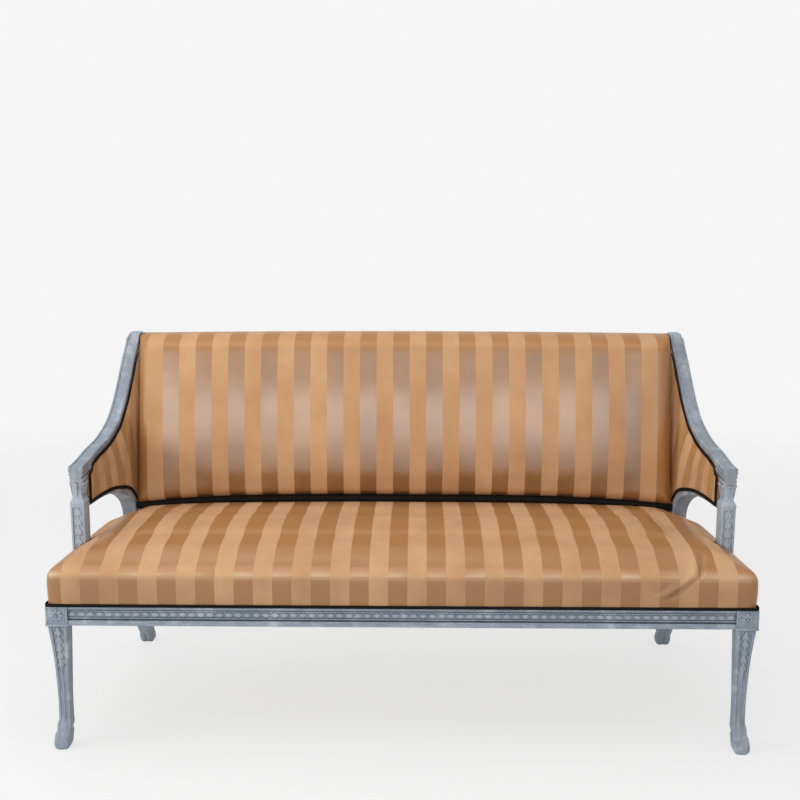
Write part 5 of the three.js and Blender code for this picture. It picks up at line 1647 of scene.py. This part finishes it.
@dataclass
class ArmPanel:
    """The padded panel between an arm and its arch, with its outside cloth and its braid."""

    lines: ArmLines
    columns: int = 96
    rows: int = 30
    padding: float = 0.0135
    bow: float = 0.004
    pleats: float = 0.0007
    gimp: float = 0.0088
    braid_low: float = 0.022
    braid_high: float = 0.988

    def lower(self) -> list[Vector]:
        """The panel's lower edge: along the arch, and then back to the stile."""
        lowest = mix(PLAN.rail_top, PLAN.arch_spring, 0.5)
        kept = [p for p in self.lines.arch() if p.z > lowest]
        last = kept[-1].copy()
        last.y = PLAN.back_front(last.z) - CLEARANCE
        return resampled([*kept, last], self.columns)

    def upper(self) -> list[Vector]:
        """The panel's upper edge, under the arm, from the post to the stile."""
        start = PLAN.y(PLAN.post_rear + CLEARANCE)
        line = self.lines.arm_under()
        kept = [p for p in line if start < p.y < PLAN.back_front(p.z) - CLEARANCE]
        first, last = kept[0].copy(), kept[-1].copy()
        first.y, last.y = start, PLAN.back_front(last.z) - CLEARANCE
        return resampled([first, *kept, last], self.columns)

    def surface(self, offset: float, bow: float, pleats: float) -> Callable[[float, float], Vector]:
        """The panel's face at a distance outward from its inner face.

        Args:
            offset: The distance outward.
            bow: How far the middle bows inward.
            pleats: The depth of the soft upright pleats.

        Returns:
            A function of the place along and up the panel, each from 0 to 1.
        """
        below, above = self.lower(), self.upper()
        sign = self.lines.side.value

        def at(along: float, up: float) -> Vector:
            """A point of the face."""
            n = clamp(along) * self.columns
            k = min(int(n), self.columns - 1)
            low = below[k].lerp(below[k + 1], n - k)
            high = above[k].lerp(above[k + 1], n - k)
            point = low.lerp(high, up)
            inner = mix(abs(low.x), abs(high.x) - PLAN.arm_width / 2, up)
            swell = math.sin(math.pi * clamp(along)) * math.sin(math.pi * up)
            wave = pleats * math.sin(along * 46 + 1.5 * up) * (0.4 + 0.6 * math.sin(math.pi * up))
            point.x = sign * (inner + offset - bow * swell - wave)
            return point

        return at

    def cloth(self, name: str, nodes: list[str], face: Callable[[float, float], Vector], rows: int,
              thickness: float, wear: tuple[float, ...] = ()) -> tuple[Piece, float]:
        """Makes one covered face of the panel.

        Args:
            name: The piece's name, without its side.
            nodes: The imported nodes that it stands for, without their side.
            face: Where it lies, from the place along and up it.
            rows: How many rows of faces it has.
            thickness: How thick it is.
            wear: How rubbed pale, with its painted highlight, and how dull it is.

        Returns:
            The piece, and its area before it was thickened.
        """
        bm = grid(self.columns, rows, lambda u, v: face((u + 1) / 2, (v + 1) / 2))
        area = thickened(bm, (-self.lines.side.value, 0, 0), thickness)
        word = self.lines.side.word
        nodes = [f"{node}_{word}" for node in nodes]
        piece = made_piece(f"{name}_{word}", bm, ARM_SATIN, nodes, 60)
        give_cloth_lines(piece, lambda place, _: (place.y * 1.02 + 0.004, place.z, *wear))
        return piece, area

    def pad(self) -> None:
        """Makes the padded inner cover."""
        face = self.surface(0.0, self.bow, self.pleats)
        nodes = ["arm_cover", "arm_stuffing", "arm_hessian"]
        piece, _ = self.cloth("arm_pad", nodes, face, self.rows, self.padding, (0.0, 0.8))

    def outside(self) -> None:
        """Makes the cloth on the outside of the arm."""
        face = self.surface(PLAN.arm_width - 0.003 - OUTSIDE_CLOTH, 0.0, 0.0)
        piece, area = self.cloth("outside_arm_cloth", ["outside_arm"], face, 16, OUTSIDE_CLOTH)
        arch = f"arm_arch_{self.lines.side.word}"

    def braid(self) -> None:
        """Makes the braid round the panel's inner face."""
        face = self.surface(-0.0006, self.bow, self.pleats)
        low, high = self.braid_low, self.braid_high
        path = [(0.93 * n / 60, high) for n in range(60, -1, -1)]
        path += [(0.0, mix(high, low, n / 24)) for n in range(1, 25)]
        foot = [(0.92 * n / 90, low) for n in range(1, 91)]
        path += [step for step in foot if face(*step).z > 0.462]
        points = resampled([face(*step) for step in path], 150)
        front = PLAN.y(PLAN.post_rear)
        outs = []
        for point in points:
            # Beside the post the braid turns onto the corner of the panel
            turned = smooth(0.012, 0.004, point.y - front)
            point.y = max(point.y, front + 0.0022)
            outs.append(Vector((-self.lines.side.value, -0.35 * turned, 0)).normalized())
        word = self.lines.side.word
        bm = bmesh.new()
        sweep(bm, gimp_outline(self.gimp), gimp_stations(points, outs))
        made_piece(f"arm_braid_{word}", bm, BRAID, [f"arm_gimp_{word}"], 50)


def gimp_outline(width: float) -> Pairs:
    """The section of a braid: two rounded cords with a furrow between them."""
    w = width / 2
    half = [(w, 0.0), (w, 0.0011), (w * 0.78, 0.0021), (w * 0.45, 0.0023), (w * 0.18, 0.0017)]
    return mirrored(half)


def gimp_stations(points: Sequence[Vector], outs: Sequence[Vector]) -> list[Station]:
    """Stations along a braid, from its line and the directions that lead off its surface."""
    stations = []
    for n, (point, out) in enumerate(zip(points, outs)):
        along = tangent(points, n)
        across = along.cross(out).normalized()
        stations.append(Station(point, across, across.cross(along).normalized()))
    return stations


@dataclass
class Trimmings:
    """The braids round the seat and the back, and the roll between the two."""

    gimp: float = 0.007
    roll_height: float = 0.017
    roll_depth: float = 0.020

    def seat_line(self, sign: int, behinds: Iterable[float]) -> list[Vector]:
        """Points at the foot of the seat cover, on one side of it."""
        z = PLAN.rail_top + CLEARANCE + self.gimp / 2
        return [Vector((sign * (PLAN.half_at(b) + 0.0002), PLAN.y(b), z)) for b in behinds]

    def seat_front(self) -> None:
        """Makes the braid along the foot of the seat cover, from post to post."""
        right = self.seat_line(1, (PLAN.post_front - 0.001, 0.09, 0.012))
        z = right[0].z
        right += [
            Vector((PLAN.half_front - 0.001, PLAN.y(0.004), z)),
            Vector((PLAN.half_front - 0.004, PLAN.y(0.0005), z)),
        ]
        front = [Vector((x, PLAN.y(-0.0002), z)) for x in (0.79, 0.4, 0, -0.4, -0.79)]
        left = [Vector((-p.x, p.y, z)) for p in right[::-1]]
        points = resampled([*right, *front, *left], 260)
        stations = []
        for n, point in enumerate(points):
            out = tangent(points, n).cross(UP).normalized()
            out = out if out.dot(Vector((point.x * 0.3, point.y - 0.1, 0))) > 0 else -out
            stations.append(Station(point, UP, out))
        bm = bmesh.new()
        sweep(bm, gimp_outline(self.gimp), stations)
        made_piece("seat_braid", bm, BRAID, ["seat_gimp"], 50)

    def seat_side(self, side: Side) -> None:
        """Makes the braid along the side of the seat behind the post."""
        chain = self.seat_line(side.value, (PLAN.post_rear + 0.001, 0.35, 0.490))
        out = Vector((side.value, 0, 0))
        bm = bmesh.new()
        sweep(bm, gimp_outline(self.gimp), [Station(p, UP, out) for p in resampled(chain, 40)])
        made_piece(f"side_braid_{side.word}", bm, BRAID, [f"seat_side_gimp_{side.word}"], 50)

    def roll(self, pad: BackPad) -> None:
        """Makes the black roll under the back pad."""
        half = pad.half_bottom - 0.002
        front = PLAN.back_front(pad.bottom) + PLAN.stile_depth_top - pad.depth_bottom + 0.013
        deep, tall = Vector((0, self.roll_depth, 0)), Vector((0, 0, self.roll_height))
        stations = []
        for n in range(97):
            x = mix(-half, half, n / 96)
            drop = (pad.droop - 0.004) * (abs(x) / pad.half_bottom) ** 3.5
            z = pad.bottom + 0.002 - drop - self.roll_height / 2
            stations.append(Station(Vector((x, front + self.roll_depth / 2, z)), deep, tall))
        bm = bmesh.new()
        sweep(bm, rounded_outline(0.46, 5), stations)
        made_piece("black_back_roll", bm, BRAID, ["back_band"], 50)

    def outside_back(self) -> None:
        """Makes the cloth on the outside of the back, and the braid round it."""
        low, high = PLAN.rail_top - 0.014, PLAN.back_height - 0.009
        depth = PLAN.stile_depth_top + CLEARANCE

        def at(u: float, v: float) -> Vector:
            """A point of the cloth."""
            z = mix(low, high, (v + 1) / 2)
            half = PLAN.stile_inner(z) - CLEARANCE
            return Vector((u * half, PLAN.back_front(z) + depth, z))

        bm = grid(60, 24, at)
        area = thickened(bm, (0, -1, 0), -OUTSIDE_CLOTH)
        cloth = made_piece("outside_back_cloth", bm, SATIN, ["outside_back"], 60)
        give_cloth_lines(cloth, lambda place, _: (place.x, place.z))
        inset = self.gimp / 2
        corners = []
        for x, z in ((-1, low + inset), (1, low + inset), (1, high - inset), (-1, high - inset)):
            half = PLAN.stile_inner(z) - CLEARANCE - inset
            corners.append(Vector((x * half, PLAN.back_front(z) + depth + 0.0018, z)))
        out = Vector((0, 1, -PLAN.rake))
        bm = bmesh.new()
        for start, end in zip(corners, [*corners[1:], corners[0]]):
            reach = (end - start).normalized() * inset
            points = resampled([start - reach, end + reach], 60)
            sweep(bm, gimp_outline(self.gimp), gimp_stations(points, [out] * len(points)))
        made_piece("outside_back_braid", bm, BRAID, ["outside_back_gimp"], 50)


@dataclass
class Webbing:
    """Nets of straps that are woven over and under each other."""

    width: float = 0.050
    thickness: float = 0.0012
    set_in: float = 0.012
    wave: float = 0.0005
    end_inset: float = 0.03

    def strap(self, bm: Mesh, ends: Sequence[Vector], out: Vector, crossings: Sequence[float],
              first: int) -> None:
        """Weaves one strap.

        Args:
            bm: The mesh that it goes into.
            ends: The middles of its two ends.
            out: The direction that leads off the net.
            crossings: The shares of its length at which it crosses other straps.
            first: Whether it begins over them, 1, or under them, -1.
        """
        start, end = ends
        length = (end - start).length
        across = (end - start).normalized().cross(out).normalized()
        stations = []
        for n in range(81):
            lift = sum(
                bell((n / 80 - crossing) * length, 0.030) * first * (-1) ** k
                for k, crossing in enumerate(crossings)
            )
            centre = start.lerp(end, n / 80) + out * (self.wave * lift)
            stations.append(Station(centre, across * self.width, out * self.thickness))
        sweep(bm, [(0.5, -0.5), (0.5, 0.5), (-0.5, 0.5), (-0.5, -0.5)], stations)

    def net(self, place: str, columns: int, inset: float, out: Vector,
            upright: Callable[[float], Sequence[Vector]],
            level: Callable[[float], Sequence[Vector]]) -> None:
        """Weaves a net with four level straps.

        Args:
            place: The word for it in the names, seat or back.
            columns: How many straps go from front to rear or up.
            inset: The share of those that lies before the first level strap.
            out: The direction that leads off the net.
            upright: The ends of one of those, from its share of the way across.
            level: The ends of a level strap, from its share of the way along.
        """
        bm = bmesh.new()
        across, along = ([n / (count - 1) for n in range(count)] for count in (columns, 4))
        for n, share in enumerate(across):
            crossings = [mix(inset, 1 - inset, s) for s in along]
            self.strap(bm, upright(share), out, crossings, 1 if n % 2 else -1)
        for n, share in enumerate(along):
            crossings = [mix(self.end_inset, 1 - self.end_inset, s) for s in across]
            self.strap(bm, level(share), out, crossings, -1 if n % 2 else 1)
        made_piece(f"woven_{place}_webbing", bm, JUTE, [f"{place}_webbing"], 60)

    def seat(self, seat: Seat) -> None:
        """Makes the seat's net under the stuffing."""
        z = PLAN.rail_top + CLEARANCE + 0.0012
        front, rear = self.set_in, seat.depth - self.set_in

        def upright(share: float) -> list[Vector]:
            """The ends of a strap from front to rear."""
            ends = []
            for behind, widest in ((front, 1.0), (rear, 0.700)):
                half = min(PLAN.half_at(behind) - self.set_in, widest) - self.width / 2
                ends.append(Vector((mix(-half, half, share), PLAN.y(behind), z)))
            return ends

        def level(share: float) -> list[Vector]:
            """The ends of a strap from side to side, clear of the posts and the arches."""
            behind = mix(front + self.width / 2, rear - self.width / 2, share)
            half = PLAN.half_at(behind) - self.set_in
            if PLAN.post_front - 0.03 < behind < PLAN.post_rear + 0.03:
                half = PLAN.post_inner - 0.002
            if behind > 0.45:
                half = 0.703
            return [Vector((x, PLAN.y(behind), z)) for x in (-half, half)]

        self.net("seat", 11, 0.05, UP, upright, level)

    def back(self, pad: BackPad) -> None:
        """Makes the back's net in front of the frame."""
        low, high = pad.bottom + 0.012, 0.880
        reach = pad.half_top - 0.012

        def at(x: float, z: float) -> Vector:
            """A point of the net."""
            return Vector((x, PLAN.back_front(z) - 0.0011, z))

        def upright(share: float) -> list[Vector]:
            """The ends of a strap that goes up."""
            half = reach - self.width / 2
            return [at(mix(-half, half, share), z) for z in (low, high)]

        def level(share: float) -> list[Vector]:
            """The ends of a strap from side to side."""
            z = mix(low + self.width / 2, high - self.width / 2, share)
            return [at(x, z) for x in (-reach, reach)]

        self.net("back", 9, 0.06, Vector((0, -1, PLAN.rake)).normalized(), upright, level)


@dataclass
class Hessian:
    """The jute cloth that is stretched over the webbing and carries the stuffing."""

    thickness: float = 0.0008
    lift: float = 0.0026
    set_in: float = 0.012

    def sheet(self, place: str, flat: tuple[float, float], at: Callable[[float, float], Vector],
              out: Sequence[float]) -> None:
        """Stretches one sheet.

        Args:
            place: The word for it in the names, seat or back.
            flat: The width and length that it is cut to. Not used.
            at: Turns the place across and along, each from -1 to 1, into a point.
            out: The direction that leads off the webbing.
        """
        bm = grid(90, 60, at)
        area = thickened(bm, out, -self.thickness)
        piece = made_piece(f"{place}_hessian_cloth", bm, JUTE, [f"{place}_hessian"], 60)

    def seat(self, seat: Seat) -> None:
        """Makes the sheet under the seat's stuffing."""

        def at(u: float, v: float) -> Vector:
            """A point of the sheet."""
            behind = mix(self.set_in, seat.depth - self.set_in, (v + 1) / 2)
            half = seat.half_at(behind) - self.set_in
            return Vector((u * half, PLAN.y(behind), PLAN.rail_top + self.lift))

        self.sheet("seat", (1.58, 0.545), at, UP)

    def back(self, pad: BackPad) -> None:
        """Makes the sheet behind the back's stuffing."""
        low, high, half = pad.bottom + 0.016, 0.878, pad.half_top - 0.012

        def at(u: float, v: float) -> Vector:
            """A point of the sheet."""
            z = mix(low, high, (v + 1) / 2)
            return Vector((u * half, PLAN.back_front(z) - self.lift, z))

        self.sheet("back", (1.39, 0.39), at, (0, -1, PLAN.rake))


def dress_node(node: str, finish: Finish) -> None:
    """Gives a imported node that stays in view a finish."""
    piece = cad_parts[node]
    piece.data.materials.clear()
    piece.data.materials.append(finish.material())
    LOG.info("%s: dressed", node)


# The studio


@dataclass(frozen=True)
class Lamp:
    """A soft box: where it hangs, what it looks at, its size in metres and its power in watts."""

    name: str
    place: tuple[float, float, float]
    target: tuple[float, float, float]
    size: tuple[float, float]
    power: float

    def build(self) -> None:
        """Hangs the lamp."""
        data = bpy.data.lights.new(self.name, "AREA")
        data.shape = "RECTANGLE"
        data.size, data.size_y = self.size
        data.energy = self.power
        lamp = bpy.data.objects.new(self.name, data)
        lamp.location = self.place
        direction = Vector(self.target) - Vector(self.place)
        lamp.rotation_euler = direction.to_track_quat("-Z", "Y").to_euler()
        bpy.context.scene.collection.objects.link(lamp)


@dataclass
class Studio:
    """A pale floor that curves up into a backdrop, soft light, and the photograph's camera."""

    floor: str = "f5f5f5"
    evenness: float = 0.75
    air: float = 0.46
    reach: float = 9.0
    wall: float = 7.0
    bend: float = 3.0
    lens: float = 51.75
    camera_place: tuple[float, float, float] = (0.040, -2.811, 1.258)
    pitch: float = 80.0
    yaw: float = 0.95
    lamps: tuple[Lamp, ...] = (
        Lamp("front_band", (-0.6, -4.4, 1.31), (-0.6, 0, 1.05), (6.0, 0.40), 43),
        Lamp("top_softbox", (-0.4, -0.6, 3.2), (0, 0, 0.3), (4.0, 2.6), 54),
        Lamp("left_softbox", (-3.6, -2.0, 1.7), (0, 0, 0.5), (2.0, 2.2), 58),
    )

    def backdrop(self) -> None:
        """Makes the floor and the wall as one curved sheet."""
        bent_y = self.wall - self.bend
        profile = [(-self.reach, 0.0), (bent_y, 0.0)]
        for n in range(1, 17):
            angle = math.pi / 2 * n / 16
            y, z = bent_y + self.bend * math.sin(angle), self.bend * (1 - math.cos(angle))
            profile.append((y, z))
        profile.append((self.wall, self.wall))
        steps = len(profile) - 1

        def at(u: float, v: float) -> tuple[float, float, float]:
            """A point of the sheet."""
            return u * self.reach, *profile[round((v + 1) / 2 * steps)]

        bm = grid(1, steps, at)
        bmesh.ops.recalc_face_normals(bm, faces=bm.faces[:])
        mesh = bpy.data.meshes.new("studio_backdrop")
        bm.to_mesh(mesh)
        bm.free()
        mesh.shade_smooth()
        sheet = bpy.data.objects.new("studio_backdrop", mesh)
        bpy.context.scene.collection.objects.link(sheet)
        mesh.materials.append(self.paper())

    def paper(self) -> bpy.types.Material:
        """Matte pale paper, which shows its own colour and only a part of the shadows on it."""
        made = bpy.data.materials.new("studio_paper")
        nodes = Nodes(made)
        paper = nodes.add("BsdfDiffuse", None, {"Color": self.floor})
        plain = nodes.add("Emission", None, {"Color": self.floor, "Strength": 1.0})
        # Shadows show round the object and fade out 4 m from it
        away = nodes.add("VectorMath", {"operation": "LENGTH"}, {0: nodes.place()}).outputs["Value"]
        even = nodes.ranged(away, 1.5, 4.0, self.evenness, 1.0)
        inputs = {0: nodes.times(self.seen(nodes), even), 1: paper.outputs[0], 2: plain.outputs[0]}
        mixed = nodes.add("MixShader", None, inputs)
        nodes.add("OutputMaterial", None, {"Surface": mixed.outputs[0]})
        return made

    @staticmethod
    def seen(nodes: Nodes) -> Socket:
        """Whether a ray comes from the camera, straight, off a gloss or through glass."""
        rays = nodes.add("LightPath").outputs
        either = nodes.sum("MAXIMUM", rays["Is Camera Ray"], rays["Is Glossy Ray"])
        return nodes.sum("MAXIMUM", either, rays["Is Transmission Ray"])

    def world(self) -> None:
        """Fills the air with soft light, which shows at full strength where it is seen."""
        world = bpy.data.worlds.new("studio_air")
        bpy.context.scene.world = world
        nodes = Nodes(world)
        air, shown = (
            nodes.add("Background", None, {"Color": self.floor, "Strength": strength}).outputs[0]
            for strength in (self.air, 1.0)
        )
        mixed = nodes.add("MixShader", None, {0: self.seen(nodes), 1: air, 2: shown})
        nodes.add("OutputWorld", None, {"Surface": mixed.outputs[0]})

    def camera(self) -> None:
        """Stands the camera where the photograph was taken from."""
        data = bpy.data.cameras.new("photograph_camera")
        data.lens = self.lens
        data.sensor_width = 36.0
        camera = bpy.data.objects.new("photograph_camera", data)
        camera.location = self.camera_place
        camera.rotation_euler = (math.radians(self.pitch), 0.0, math.radians(self.yaw))
        bpy.context.scene.collection.objects.link(camera)
        bpy.context.scene.camera = camera
        bpy.context.scene.view_settings.view_transform = "Standard"

    def build(self) -> None:
        """Sets the studio up."""
        self.camera()
        self.backdrop()
        for lamp in self.lamps:
            lamp.build()
        self.world()


def build_frame() -> None:
    """Makes the wooden frame and its fittings."""
    for side in Side:
        FrontLeg(side).build()
        RearLeg(side).build()
        ArmPost(side).build()
        rail = ArmRail(ArmLines(side))
        rail.build()
        rail.arch()
        softened(f"side_rail_{side.word}", PAINT)
        for node in ("front_brace", "rear_brace", "seat_cross_bar", "back_upright"):
            softened(f"{node}_{side.word}", BARE, SAWN_EDGE)
        for node in ("front_brace_screw", "rear_brace_screw"):
            dress_node(f"{node}_{side.word}", STEEL)
    FrontRail().build()
    softened("rear_rail", RAIL_PAINT)
    for node in ("crest_rail", "lower_back_rail"):
        softened(node, BARE, SAWN_EDGE)


def build_upholstery() -> None:
    """Makes the webbing, the pads, the covers and the braids."""
    seat, pad = Seat(), BackPad()
    webbing, hessian, trimmings = Webbing(), Hessian(), Trimmings()
    webbing.seat(seat)
    webbing.back(pad)
    hessian.seat(seat)
    hessian.back(pad)
    seat.build()
    pad.build()
    trimmings.seat_front()
    trimmings.roll(pad)
    trimmings.outside_back()
    for side in Side:
        trimmings.seat_side(side)
        panel = ArmPanel(ArmLines(side))
        panel.pad()
        panel.outside()
        panel.braid()


def main() -> None:
    """Builds the settee and the studio."""
    logging.basicConfig(level=logging.INFO, format="%(name)s %(message)s")
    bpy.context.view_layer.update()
    Studio().build()
    build_frame()
    build_upholstery()


if __name__ == "__main__":
    main()
